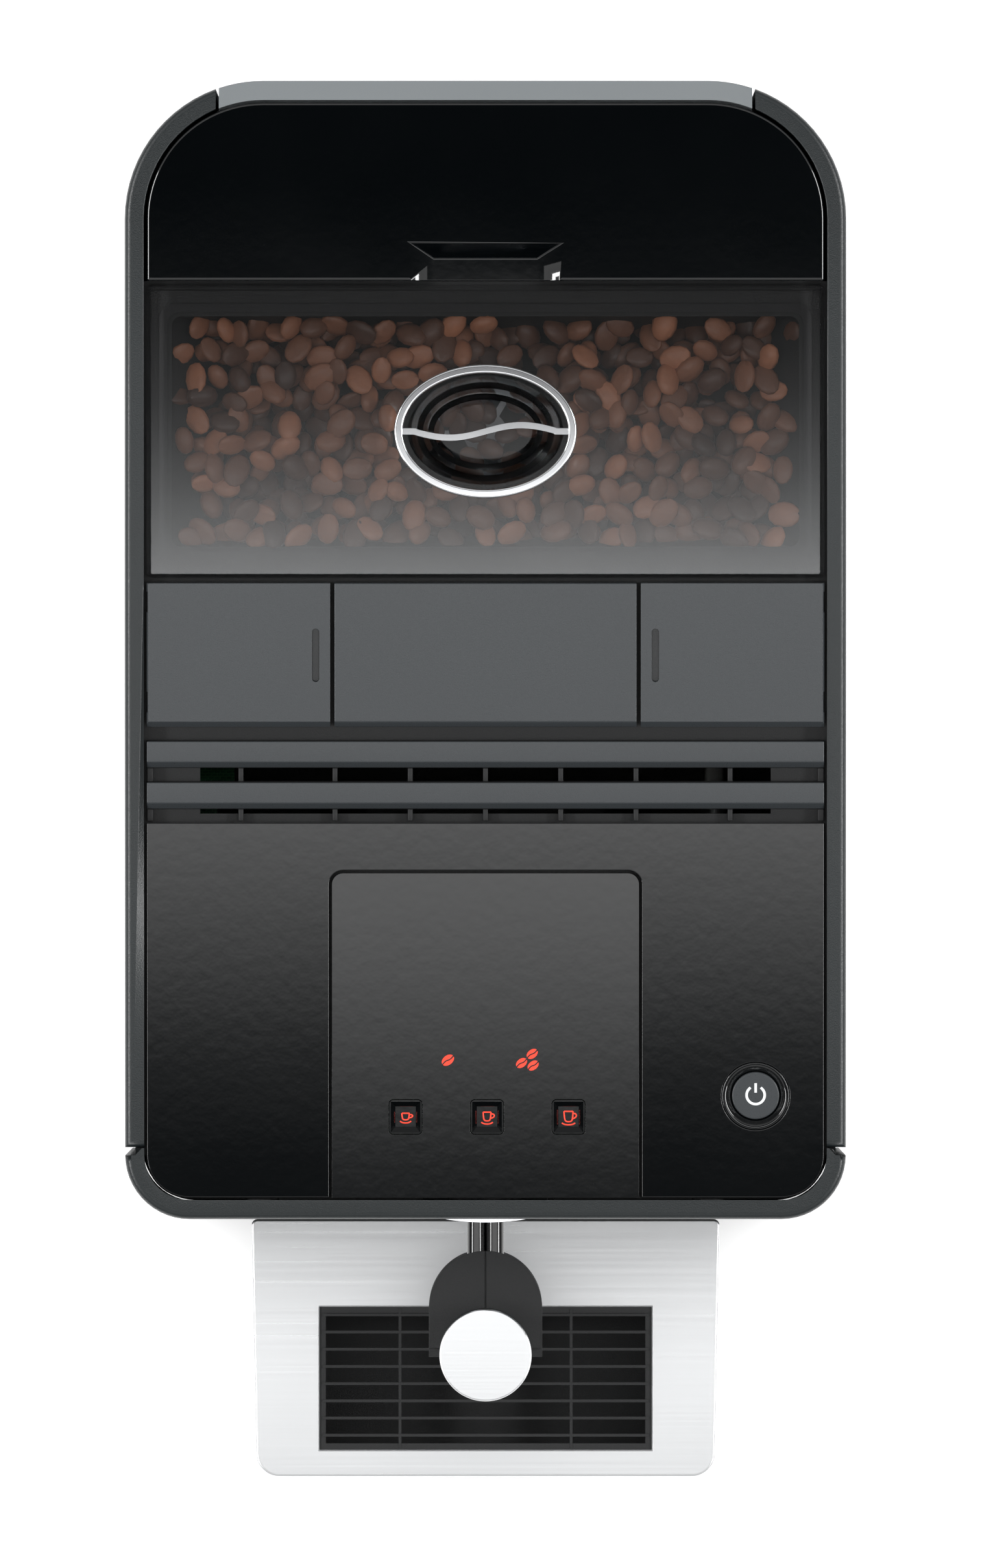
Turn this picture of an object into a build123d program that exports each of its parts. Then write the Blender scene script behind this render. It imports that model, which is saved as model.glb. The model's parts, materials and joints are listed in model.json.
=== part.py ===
from build123d import *
import os
from math import cos, pi, radians, sin, tan

# Compact one-cup bean-to-cup coffee machine, as an assembly of separate pieces.
# Millimetres, +Z up. The front faces -Y, and the origin is on the floor below the
# middle of the whole plan, drip tray included.

os.makedirs("parts", exist_ok=True)

# ---- Driving dimensions ----
body_width = 230.0
body_depth = 363.0
body_height = 323.0
tray_reach = 86.1        # how far the cup platform stands out in front of the casing
slope_length = 203.5     # sloping front part of the top, measured along Y
deck_slope = 5.0         # degrees that the top falls towards the front
foot_height = 8.0

# Casing
wall = 3.0
rim_width = 6.1          # width of the casing's top rim
rim_depth = 6.0          # the covers lie this deep in the rim
rear_corner = 44.0
front_corner = 20.5
cover_depth = 20.4       # front cover, from its face to the groove
groove_width = 2.6
groove_depth = 3.2
rear_gate = 86.0         # half width of the gap between the side panels at the back

# Clearances
panel_gap = 0.9          # between the rim and the covers
seat_gap = 0.3           # between pieces that can move or be lifted
fit_gap = 0.05           # pins in their bores, radial

# Water tank and its lid
tank_front_setback = 63.9
tank_floor_z = 192.0
tank_wall = 3.0
strip_half = 85.0        # half width of the tank's rear wall that fills the casing's gap
strip_depth = 6.2
lid_thickness = 6.5
recess_half = 24.5
recess_length = 12.3

# Bean hopper and its lid
hopper_half = 100.0
hopper_front_gap = 10.1  # from the bean lid's front edge to the hopper's opening
hopper_rear_gap = 10.2
bean_lid_length = 93.7
bean_lid_thickness = 3.0
hopper_flange = 1.5
hopper_wall = 2.0
hopper_depth = 55.0
throat_side = 40.0
throat_depth = 14.0
handle_length = 58.3
handle_width = 42.6
handle_ring = 2.8
bowl_depth = 13.0

# Row of three covers, louvre and control deck, from the break of the slope forwards
flap_rear_gap = 0.7
flap_length = 45.9
flap_thickness = 4.0
flap_half_seam = 48.85   # middle of the seam between the middle cover and a flap
seam_width = 1.3
lip = 2.1                # chamfer along the covers' front edges
vent_length = 26.0
slat_length = 8.6
slat_gap = 4.5
rib_width = 1.6
insert_half = 49.0
insert_groove = 0.9
insert_rear_gap = 16.0
insert_corner = 3.6      # round at the insert's rear corners
insert_sink = 2.0        # how deep the insert's rear end lies below the deck
plate_thickness = 3.0

# Buttons
button_width = 10.8
button_length = 11.3
button_pitch = 26.0
button_setback = 25.7    # from the insert's front edge to the middle of the buttons
button_gap = 0.25
button_travel = 0.8
dish_floor = 6.5
dish_depth = 1.6
power_x = 86.2
power_setback = 32.3
power_ring_radius = 10.85
power_button_radius = 7.6
power_travel = 1.0

# Small hinges of the flaps
hinge_pin = 0.8
hinge_ear = 1.4
hinge_drop = 2.0
hinge_inset = 2.0
hinge_ease = 0.6         # chamfer along a flap's outer edge, so that it clears the rim as it swings
ear_length = 6.0

# Spout
spout_width = 36.4
spout_axis_out = 29.3    # rear round of the bracket, in front of the casing
spout_front_out = 45.2   # bracket's front face, in front of the casing
cylinder_radius = 14.8
cylinder_height = 62.0
bracket_height = 60.0
nozzle_drop = 177.0      # from the top of the casing to the lowest end of the outlets
spout_down = 35.0
spout_up = 48.0
neck_width = 11.8
rail_half = 13.9
rail_bulge = 1.2
guide_radius = 2.5
guide_half = 16.0

# Drip tray and cup platform
platform_top = 56.0
platform_thickness = 4.0
platform_rear_half = 76.1
platform_front_half = 74.4
platform_gap = 2.5       # from the casing to the platform's rear edge
platform_corner = 7.6
tray_wall = 2.5
tray_floor_z = 9.0
tray_inner_half = 70.0
tray_inside = 150.0      # length of the tray inside the casing
grille_half = 54.3
grille_front_setback = 8.4
grille_length = 47.1
blade_count = 8
blade_width = 0.9
blade_depth = 6.0
cross_rib_x = 27.8

# Chassis
pan_thickness = 3.0
shelf_z = 60.0
shelf_thickness = 3.0
post_side = 10.0

# Working parts
grinder_radius = 38.0
grinder_height = 52.0
burr_radius = 27.0
motor_radius = 26.0
motor_height = 62.0
shaft_radius = 4.0
chamber_radius = 26.0
chamber_bore = 22.0
chamber_height = 60.0
piston_rod = 8.0
pump_radius = 20.0
pump_length = 78.0
hose_radius = 3.0

# ---- Places that follow from them ----
total_depth = body_depth + tray_reach
rear_y = total_depth / 2
front_y = rear_y - body_depth
tray_front_y = -total_depth / 2
break_y = front_y + slope_length
slope = radians(deck_slope)
cover_y = front_y + cover_depth
panel_y = cover_y + groove_width
inner_inset = rim_width + panel_gap
inner_half = body_width / 2 - inner_inset
bean_lid_front = break_y + flap_rear_gap + 0.2
bean_lid_rear = bean_lid_front + bean_lid_length
tank_lid_front = rear_y - tank_front_setback
strip_y = rear_y - strip_depth
hopper_rear = bean_lid_rear - hopper_rear_gap
hopper_front = bean_lid_front + hopper_front_gap
hopper_length = hopper_rear - hopper_front
hopper_y = (hopper_front + hopper_rear) / 2
flap_rear = break_y - flap_rear_gap
flap_front = flap_rear - flap_length
vent_rear = flap_front - slat_gap
deck_rear = vent_rear - vent_length
deck_front = front_y + inner_inset
insert_rear = deck_rear - insert_rear_gap
margin = 20.0
nozzle_rest_z = body_height - nozzle_drop
cut_low = body_height - 43.0     # below every plate of the top, where cuts through them start
deck = Plane(origin=(0, break_y, body_height), x_dir=(1, 0, 0), z_dir=(0, -sin(slope), cos(slope)))


def deck_y(y):
    """Distance along the sloping deck of a place given by its plain y."""
    return (y - break_y) / cos(slope)


def deck_z(y, drop=0.0):
    """Height at y of the surface that lies the given drop below the sloping deck."""
    return body_height + (y - break_y) * tan(slope) - drop / cos(slope)


insert_tilt = slope - insert_sink / (insert_rear - deck_front)
insert_face = Plane(
    origin=(0, deck_front, deck_z(deck_front)),
    x_dir=(1, 0, 0),
    z_dir=(0, -sin(insert_tilt), cos(insert_tilt)),
)


def block(x0, x1, y0, y1, z0, z1, mode=Mode.ADD):
    """Upright block between two places along each axis."""
    with Locations(((x0 + x1) / 2, (y0 + y1) / 2, (z0 + z1) / 2)):
        Box(abs(x1 - x0), abs(y1 - y0), abs(z1 - z0), mode=mode)


def rod(x, y, z0, z1, radius, mode=Mode.ADD):
    """Upright round bar."""
    with Locations((x, y, (z0 + z1) / 2)):
        Cylinder(radius, z1 - z0, mode=mode)


def rod_x(x0, x1, y, z, radius, mode=Mode.ADD):
    """Round bar along X."""
    with Locations(((x0 + x1) / 2, y, z)):
        Cylinder(radius, abs(x1 - x0), rotation=(0, 90, 0), mode=mode)


def rod_y(x, y0, y1, z, radius, mode=Mode.ADD):
    """Round bar along Y."""
    with Locations((x, (y0 + y1) / 2, z)):
        Cylinder(radius, abs(y1 - y0), rotation=(90, 0, 0), mode=mode)


def body_outline(inset):
    """Plan outline of the casing, drawn in by an inset."""
    with BuildSketch() as outline:
        with Locations((0, (rear_y + front_y) / 2)):
            Rectangle(body_width - 2 * inset, body_depth - 2 * inset)
        fillet(outline.vertices().group_by(Axis.Y)[-1], rear_corner - inset)
        fillet(outline.vertices().group_by(Axis.Y)[0], front_corner - inset)
    return outline.sketch


def plan(z, outer, inner=None, y0=None, y1=None, half=None):
    """Casing outline at height z, as a plate or as a band between two insets, cut to y and x limits."""
    with BuildSketch(Plane.XY.offset(z)) as area:
        add(body_outline(outer))
        if inner is not None:
            add(body_outline(inner), mode=Mode.SUBTRACT)
        low = front_y - margin if y0 is None else y0
        high = rear_y + margin if y1 is None else y1
        reach = body_width if half is None else half
        with Locations((0, (low + high) / 2)):
            Rectangle(2 * reach, high - low, mode=Mode.INTERSECT)
    return area.sketch


def under_deck(top_drop, bottom_drop):
    """Slab between two depths below the top, flat at the rear and sloped in front."""
    reach = front_y - margin
    back = rear_y + margin
    top_kink = break_y + top_drop * tan(slope / 2)
    low_kink = break_y + bottom_drop * tan(slope / 2)
    with BuildPart() as slab:
        with BuildSketch(Plane.YZ.offset(-body_width)):
            with BuildLine():
                Polyline(
                    (reach, deck_z(reach, top_drop)),
                    (top_kink, body_height - top_drop),
                    (back, body_height - top_drop),
                    (back, body_height - bottom_drop),
                    (low_kink, body_height - bottom_drop),
                    (reach, deck_z(reach, bottom_drop)),
                    close=True,
                )
            make_face()
        extrude(amount=2 * body_width)
    return slab.part


def deck_rect(x0, x1, y0, y1, mode=Mode.ADD):
    """Rectangle in the deck's own plane, between plain x and y places."""
    with Locations(((x0 + x1) / 2, (deck_y(y0) + deck_y(y1)) / 2)):
        Rectangle(abs(x1 - x0), abs(deck_y(y1) - deck_y(y0)), mode=mode)


below_top = under_deck(0, body_height + margin)
rim_slab = under_deck(0, rim_depth)

# ---- Casing ----


def side_panel(side):
    """Side panel that wraps round the rear corner; side is -1 for left and 1 for right."""
    with BuildPart() as panel:
        extrude(plan(body_height - margin - rim_depth, 0, rim_width, y0=panel_y), amount=margin + rim_depth)
        add(rim_slab, mode=Mode.INTERSECT)
        extrude(plan(foot_height, 0, wall, y0=panel_y), amount=body_height - foot_height)
        add(below_top, mode=Mode.INTERSECT)
        block(-rear_gate, rear_gate, rear_y - rear_corner, rear_y + margin, 0, body_height + margin,
              Mode.SUBTRACT)
        block(0, -side * body_width, front_y - margin, rear_y + margin, 0, body_height + margin,
              Mode.SUBTRACT)
    return panel.part


left_side_panel = side_panel(-1)
left_side_panel.label = "left_side_panel"
export_step(left_side_panel, "parts/left_side_panel.step")

right_side_panel = side_panel(1)
right_side_panel.label = "right_side_panel"
export_step(right_side_panel, "parts/right_side_panel.step")

# The front cover wraps round the front corners. It is open for the drip tray, and slotted for the spout.
tray_opening_half = platform_rear_half + 1.3
tray_opening_top = platform_top + 1.5
slot_half = neck_width / 2 + 0.7
neck_low = nozzle_rest_z + 30.0
neck_high = neck_low + 36.0
slot_low = neck_low - spout_down - 2.0
slot_high = neck_high + spout_up + 2.0
rail_low = slot_low - 30.0
rail_high = slot_high + 24.0

with BuildPart() as front_cover:
    extrude(plan(body_height - margin * 2, 0, rim_width, y1=cover_y), amount=margin * 2)
    extrude(plan(body_height - margin * 2, groove_depth, rim_width, y1=panel_y - seat_gap), amount=margin * 2)
    add(rim_slab, mode=Mode.INTERSECT)
    extrude(plan(foot_height, 0, wall, y1=cover_y), amount=body_height - foot_height)
    add(below_top, mode=Mode.INTERSECT)
    block(-tray_opening_half, tray_opening_half, front_y - margin, cover_y + margin, 0, tray_opening_top,
          Mode.SUBTRACT)
    block(-slot_half, slot_half, front_y - margin, front_y + wall + 1, slot_low, slot_high, Mode.SUBTRACT)
    for guide_x in (-guide_half, guide_half):
        for bracket_z in (slot_low - 16, slot_high + 8):
            block(guide_x - 4, guide_x + 4, front_y + wall, front_y + wall + 13, bracket_z, bracket_z + 8)
            rod(guide_x, front_y + wall + 8, bracket_z, bracket_z + 8, guide_radius + fit_gap, Mode.SUBTRACT)
front_cover.part.label = "front_cover"
export_step(front_cover.part, "parts/front_cover.step")

screw_places = [(screw_x, screw_z) for screw_x in (-60.0, 60.0) for screw_z in (80.0, 170.0)]
screw_radius = 1.5
screw_head = 3.5
screw_slot = 2.6
gland_x = -62.0
gland_z = 40.0
gland_radius = 8.0
gland_nut = 10.5
gland_bore = 3.6
vent_half = 30.0
vent_rows = [120.0 + 8.0 * row for row in range(6)]

with BuildPart() as rear_cover:
    extrude(plan(foot_height, 0, wall, y0=rear_y - rear_corner, half=rear_gate - seat_gap),
            amount=tank_floor_z - foot_height - 1)
    for vent_z in vent_rows:
        block(-vent_half, vent_half, rear_y - wall - 1, rear_y + 1, vent_z, vent_z + 3, Mode.SUBTRACT)
    rod_y(gland_x, rear_y - wall - 1, rear_y + 1, gland_z, gland_radius + fit_gap, Mode.SUBTRACT)
    for screw_x, screw_z in screw_places:
        rod_y(screw_x, rear_y - wall - 1, rear_y + 1, screw_z, screw_radius + 0.3, Mode.SUBTRACT)
        rod_y(screw_x, rear_y - 2.1, rear_y + 1, screw_z, screw_head + 0.2, Mode.SUBTRACT)
rear_cover.part.label = "rear_cover"
export_step(rear_cover.part, "parts/rear_cover.step")

with BuildPart() as mains_gland:
    rod_y(gland_x, rear_y - wall - 6, rear_y - 0.2, gland_z, gland_radius)
    rod_y(gland_x, rear_y - wall - 6, rear_y - wall - 0.2, gland_z, gland_nut)
    rod_y(gland_x, rear_y - wall - 7, rear_y, gland_z, gland_bore, Mode.SUBTRACT)
mains_gland.part.label = "mains_gland"
export_step(mains_gland.part, "parts/mains_gland.step")

with BuildPart() as rear_screws:
    for screw_x, screw_z in screw_places:
        rod_y(screw_x, rear_y - 12, rear_y - 2, screw_z, screw_radius)
        rod_y(screw_x, rear_y - 2, rear_y - 0.4, screw_z, screw_head)
        for slot_x, slot_z in ((screw_slot, 0.4), (0.4, screw_slot)):
            block(screw_x - slot_x, screw_x + slot_x, rear_y - 1, rear_y, screw_z - slot_z, screw_z + slot_z,
                  Mode.SUBTRACT)
rear_screws.part.label = "rear_screws"
export_step(rear_screws.part, "parts/rear_screws.step")

# ---- Chassis ----
foot_places = [(-90, front_y + 24), (90, front_y + 24), (-80, rear_y - 36), (80, rear_y - 36)]

with BuildPart() as rubber_feet:
    for foot_x, foot_y in foot_places:
        rod(foot_x, foot_y, 0, foot_height, 11)
    chamfer(rubber_feet.edges().filter_by(GeomType.CIRCLE).group_by(Axis.Z)[0], 1.2)
rubber_feet.part.label = "rubber_feet"
export_step(rubber_feet.part, "parts/rubber_feet.step")

pan_top = foot_height + pan_thickness
rail_half_inner = tray_inner_half + seat_gap
tray_rear = front_y + tray_inside
post_x_half = body_width / 2 - 14.0
post_places = [(side * post_x_half, y) for y in (front_y + 30, bean_lid_rear - 15.7) for side in (-1, 1)]

with BuildPart() as base_pan:
    extrude(plan(foot_height, wall + seat_gap), amount=pan_thickness)
    for rail_side in (-1, 1):
        block(rail_side * rail_half_inner, rail_side * (rail_half_inner + 4), front_y + 8, tray_rear + 4,
              pan_top, 30)
    block(-40, 40, tray_rear + 1.5, tray_rear + 5.5, pan_top, 26)
    for post_x, post_y in post_places:
        block(post_x - post_side / 2, post_x + post_side / 2, post_y - post_side / 2,
              post_y + post_side / 2, pan_top, shelf_z)
base_pan.part.label = "base_pan"
export_step(base_pan.part, "parts/base_pan.step")

shelf_top = shelf_z + shelf_thickness
brew_y = front_y + 100.0
with BuildPart() as mid_shelf:
    extrude(plan(shelf_z, wall + seat_gap, y0=front_y + wall + 16), amount=shelf_thickness)
    block(-24, 24, brew_y - 20, brew_y + 20, shelf_z - 1, shelf_top + 1, Mode.SUBTRACT)
mid_shelf.part.label = "mid_shelf"
export_step(mid_shelf.part, "parts/mid_shelf.step")

frame_low = rim_depth + pan_thickness
window_half = 38.0
window_rear = insert_rear - 34.0
window_front = deck_front + 6.0
board_half = window_half + 5.0
hatch_inner = flap_half_seam + 5.0
hatch_outer = inner_half - 6.0
hatch_front = flap_front + 4.0
hatch_rear = flap_rear - 5.0
power_y = deck_front + power_setback

hinge_x = inner_half - hinge_inset
ear_places = [(flap_front + 5, flap_front + 5 + ear_length), (flap_rear - 3 - ear_length, flap_rear - 3)]


def flap_rod(x, y0, y1, radius, mode=Mode.ADD):
    """Round bar along the deck, at the depth of a flap's hinge."""
    with BuildSketch(Plane(origin=(x, y0, deck_z(y0, hinge_drop)), x_dir=(1, 0, 0),
                           z_dir=(0, cos(slope), sin(slope)))) as bar_end_face:
        Circle(radius)
    extrude(bar_end_face.sketch, amount=(y1 - y0) / cos(slope), mode=mode)


with BuildPart() as top_frame:
    extrude(plan(body_height - 2 * margin, wall + seat_gap, y0=cover_y, y1=bean_lid_rear + 1),
            amount=2 * margin)
    extrude(plan(body_height - 2 * margin, rim_width + 0.5, y1=cover_y + 1), amount=2 * margin)
    add(under_deck(rim_depth, frame_low), mode=Mode.INTERSECT)
    for post_x, post_y in post_places:
        block(post_x - post_side / 2, post_x + post_side / 2, post_y - post_side / 2, post_y + post_side / 2,
              shelf_top, deck_z(min(post_y, break_y), frame_low) + 1)
    add(under_deck(rim_depth, body_height), mode=Mode.INTERSECT)
    block(-hopper_half - 3.5, hopper_half + 3.5, hopper_front - 3.5, hopper_rear + 3.5,
          cut_low, body_height, Mode.SUBTRACT)
    for hatch_side in (-1, 1):
        block(hatch_side * hatch_inner, hatch_side * hatch_outer, hatch_front, hatch_rear, cut_low,
              body_height,
              Mode.SUBTRACT)
    block(-inner_half + 17, inner_half - 17, deck_rear + 3, vent_rear - 1, cut_low, body_height,
          Mode.SUBTRACT)
    block(-window_half, window_half, window_front, window_rear, cut_low, body_height, Mode.SUBTRACT)
    rod(power_x, power_y, cut_low, body_height, 8, Mode.SUBTRACT)
    for ear_side in (-1, 1):
        for ear_front, ear_rear in ear_places:
            with BuildSketch(deck.offset(-rim_depth - 0.5)):
                deck_rect(ear_side * (hinge_x - hinge_ear), ear_side * (hinge_x + hinge_ear), ear_front,
                          ear_rear)
            extrude(amount=rim_depth + 0.5 - hinge_drop)
            flap_rod(ear_side * hinge_x, ear_front, ear_rear, hinge_ear)
            flap_rod(ear_side * hinge_x, ear_front - 1, ear_rear + 1, hinge_pin + fit_gap, Mode.SUBTRACT)
top_frame.part.label = "top_frame"
export_step(top_frame.part, "parts/top_frame.step")

# ---- Water tank, its cradle and its lid ----
cradle_top = tank_floor_z - seat_gap
cradle_thickness = 4.0
cradle_leg = (52.0, 68.0)
outlet_x = 40.0
outlet_y = rear_y - 36.0
outlet_radius = 9.0
tank_top = body_height - lid_thickness - seat_gap
tank_front = tank_lid_front + 1.0

with BuildPart() as tank_cradle:
    extrude(plan(cradle_top - cradle_thickness, wall + seat_gap, y0=bean_lid_rear + 1.3, half=rear_gate + 12),
            amount=cradle_thickness)
    for leg_side in (-1, 1):
        block(leg_side * cradle_leg[0], leg_side * cradle_leg[1], rear_y - 22, rear_y - wall - seat_gap,
              shelf_top, cradle_top - cradle_thickness)
        block(leg_side * 84, leg_side * 92, bean_lid_rear + 3, bean_lid_rear + 11, shelf_top,
              cradle_top - cradle_thickness)
    for screw_x, screw_z in screw_places:
        rod_y(screw_x, rear_y - 13, rear_y, screw_z, screw_radius + fit_gap, Mode.SUBTRACT)
    rod(outlet_x, outlet_y, cradle_top - 16, cradle_top - cradle_thickness, outlet_radius + 3)
    rod(outlet_x, outlet_y, cradle_top - 12, cradle_top + 1, outlet_radius + seat_gap, Mode.SUBTRACT)
    rod(outlet_x, outlet_y, cradle_top - 17, cradle_top - 11, hose_radius + fit_gap, Mode.SUBTRACT)
tank_cradle.part.label = "tank_cradle"
export_step(tank_cradle.part, "parts/tank_cradle.step")

with BuildPart() as water_tank:
    extrude(plan(tank_floor_z, inner_inset, y0=tank_front), amount=tank_top - tank_floor_z)
    extrude(plan(tank_floor_z, 0.1, y0=strip_y - 8, half=strip_half), amount=tank_top - tank_floor_z)
    extrude(plan(tank_top - 1, 0.1, strip_depth, y0=rear_y - rear_corner, half=strip_half),
            amount=body_height - 0.4 - tank_top + 1)
    extrude(plan(tank_floor_z + tank_wall, inner_inset + tank_wall, y0=tank_front + tank_wall),
            amount=body_height, mode=Mode.SUBTRACT)
    extrude(plan(tank_floor_z + tank_wall, tank_wall, y0=strip_y - 12, half=strip_half - tank_wall),
            amount=tank_top - 5 - tank_floor_z - tank_wall, mode=Mode.SUBTRACT)
    rod(outlet_x, outlet_y, tank_floor_z - 9, tank_floor_z + 1, outlet_radius)
    rod(outlet_x, outlet_y, tank_floor_z - 10, tank_floor_z + tank_wall + 1, outlet_radius - 3, Mode.SUBTRACT)
water_tank.part.label = "water_tank"
export_step(water_tank.part, "parts/water_tank.step")

with BuildPart() as tank_valve:
    rod(outlet_x, outlet_y, tank_floor_z - 8.5, tank_floor_z + 2, outlet_radius - 3 - seat_gap)
    rod(outlet_x, outlet_y, tank_floor_z - 10.5, tank_floor_z - 8.5, 2)
    rod(outlet_x, outlet_y, tank_floor_z + 2, tank_floor_z + 4, 2)
    rod(outlet_x, outlet_y, tank_floor_z + tank_wall + seat_gap, tank_floor_z + tank_wall + 2.5,
        outlet_radius - 1)
tank_valve.part.label = "tank_valve"
export_step(tank_valve.part, "parts/tank_valve.step")

lid_low = body_height - lid_thickness
with BuildPart() as tank_lid:
    extrude(plan(lid_low, inner_inset, y0=tank_lid_front), amount=lid_thickness)
    chamfer(tank_lid.faces().sort_by(Axis.Z)[-1].edges(), 0.6)
    extrude(plan(lid_low - 1, inner_inset + 10, y0=tank_lid_front + recess_length + 6),
            amount=lid_thickness - 2, mode=Mode.SUBTRACT)
    with BuildSketch(Plane.XY.offset(body_height + 0.1)):
        with Locations((0, tank_lid_front)):
            Rectangle(2 * recess_half, 2 * recess_length)
    with BuildSketch(Plane.XY.offset(body_height - 5)):
        with Locations((0, tank_lid_front)):
            Rectangle(2 * recess_half - 16, 2 * recess_length - 10)
    loft(mode=Mode.SUBTRACT)
tank_lid.part.label = "tank_lid"
export_step(tank_lid.part, "parts/tank_lid.step")

# ---- Bean hopper, its lid and what they hold ----
flange_low = body_height - rim_depth
throat_top = flange_low - hopper_depth
throat_low = throat_top - throat_depth


def hopper_solid(grow, fill_top=flange_low, fill_low=throat_top):
    """Body of the hopper's tapering funnel between two heights, grown outwards all round."""
    with BuildPart() as funnel:
        for level in (fill_low, fill_top):
            share = (level - throat_top) / hopper_depth
            length = throat_side + (2 * hopper_half - throat_side) * share + 2 * grow
            width = throat_side + (hopper_length - throat_side) * share + 2 * grow
            with BuildSketch(Plane.XY.offset(level)):
                with Locations((0, hopper_y)):
                    RectangleRounded(length, width, 3 + max(grow, 0))
        loft()
    return funnel.part


with BuildPart() as bean_hopper:
    block(-inner_half + 1.5, inner_half - 1.5, bean_lid_front + 2, bean_lid_rear - 2, flange_low,
          flange_low + hopper_flange)
    add(hopper_solid(hopper_wall))
    block(-throat_side / 2 - hopper_wall, throat_side / 2 + hopper_wall,
          hopper_y - throat_side / 2 - hopper_wall,
          hopper_y + throat_side / 2 + hopper_wall, throat_low, throat_top)
    add(hopper_solid(0), mode=Mode.SUBTRACT)
    block(-throat_side / 2, throat_side / 2, hopper_y - throat_side / 2, hopper_y + throat_side / 2,
          throat_low - 1, throat_top, Mode.SUBTRACT)
    with BuildSketch(Plane.XY.offset(flange_low)):
        with Locations((0, hopper_y)):
            RectangleRounded(2 * hopper_half, hopper_length, 3)
    extrude(amount=hopper_flange, mode=Mode.SUBTRACT)
bean_hopper.part.label = "bean_hopper"
export_step(bean_hopper.part, "parts/bean_hopper.step")

bean_level = body_height - bowl_depth - 2 * seat_gap
with BuildPart() as bean_fill:
    add(hopper_solid(-seat_gap, bean_level, throat_top + 1))
bean_fill.part.label = "bean_fill"
export_step(bean_fill.part, "parts/bean_fill.step")

lid_rest = body_height - bean_lid_thickness
seal_low = flange_low + hopper_flange
with BuildPart() as lid_seal:
    with BuildSketch(Plane.XY.offset(seal_low)):
        with Locations((0, hopper_y)):
            RectangleRounded(2 * hopper_half + 8, hopper_length + 8, 5)
            RectangleRounded(2 * hopper_half + 3, hopper_length + 3, 4, mode=Mode.SUBTRACT)
    extrude(amount=lid_rest - seal_low - 0.2)
lid_seal.part.label = "lid_seal"
export_step(lid_seal.part, "parts/lid_seal.step")

bowl_length = handle_length - 2 * handle_ring
bowl_width = handle_width - 2 * handle_ring

with BuildPart() as bean_lid:
    with BuildSketch(Plane.XY.offset(lid_rest)):
        with Locations((0, (bean_lid_front + bean_lid_rear) / 2)):
            RectangleRounded(2 * inner_half, bean_lid_length, 2)
    extrude(amount=bean_lid_thickness)
    chamfer(bean_lid.faces().sort_by(Axis.Z)[-1].edges(), 1.4)
    with BuildSketch(Plane.XY.offset(lid_rest)):
        with Locations((0, hopper_y)):
            Ellipse(bowl_length / 2, bowl_width / 2)
    extrude(amount=bean_lid_thickness, mode=Mode.SUBTRACT)
bean_lid.part.label = "bean_lid"
export_step(bean_lid.part, "parts/bean_lid.step")


def bowl_solid(inset, low):
    """Tapering oval bowl hung from the lid, drawn in by an inset."""
    with BuildPart() as cup:
        with BuildSketch(Plane.XY.offset(body_height)):
            with Locations((0, hopper_y)):
                Ellipse(bowl_length / 2 - inset, bowl_width / 2 - inset)
        with BuildSketch(Plane.XY.offset(low)):
            with Locations((0, hopper_y)):
                Ellipse(bowl_length / 3.2 - inset, bowl_width / 3.6 - inset)
        loft()
    return cup.part


with BuildPart() as lid_bowl:
    add(bowl_solid(fit_gap, body_height - bowl_depth))
    add(bowl_solid(fit_gap + 1.5, body_height - bowl_depth + 1.5), mode=Mode.SUBTRACT)
lid_bowl.part.label = "lid_bowl"
export_step(lid_bowl.part, "parts/lid_bowl.step")

bar_half = bowl_length / 2 - 3.4
bar_width = 2.0
bar_sway = 2.0
bar_drop = 1.4
with BuildPart() as lid_handle:
    with BuildSketch(Plane.XY.offset(body_height)):
        with Locations((0, hopper_y)):
            Ellipse(handle_length / 2, handle_width / 2)
            Ellipse(handle_length / 2 - handle_ring, handle_width / 2 - handle_ring, mode=Mode.SUBTRACT)
    extrude(amount=0.9)
    fillet(lid_handle.faces().sort_by(Axis.Z)[-1].edges(), 0.7)
    with BuildSketch(Plane.XY.offset(body_height - bar_drop)):
        with BuildLine():
            sway = [(step / 4 * bar_half, hopper_y + bar_sway * sin(step / 4 * pi)) for step in range(-4, 5)]
            upper = Spline([(x, y + bar_width / 2) for x, y in sway])
            lower = Spline([(x, y - bar_width / 2) for x, y in sway])
            Line(upper @ 0, lower @ 0)
            Line(upper @ 1, lower @ 1)
        make_face()
    extrude(amount=bar_drop + 0.6)
    for bar_end in (-1, 1):
        block(bar_end * (bar_half - 1), bar_end * (bowl_length / 2 + 0.5), hopper_y - bar_width / 2,
              hopper_y + bar_width / 2, body_height + 0.05, body_height + 0.6)
lid_handle.part.label = "lid_handle"
export_step(lid_handle.part, "parts/lid_handle.step")

# ---- Covers along the sloping part of the top ----


def cover_blank(x0, x1, thickness):
    """Flat cover on the deck with a chamfered front lip."""
    with BuildPart() as blank:
        with BuildSketch(deck.offset(-thickness)):
            deck_rect(x0, x1, flap_front, flap_rear)
        extrude(amount=thickness)
        front_edge = blank.edges().filter_by(Axis.X).group_by(Axis.Y)[0].sort_by(Axis.Z)[-1]
        chamfer(front_edge, lip - 0.3)
    return blank.part


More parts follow.
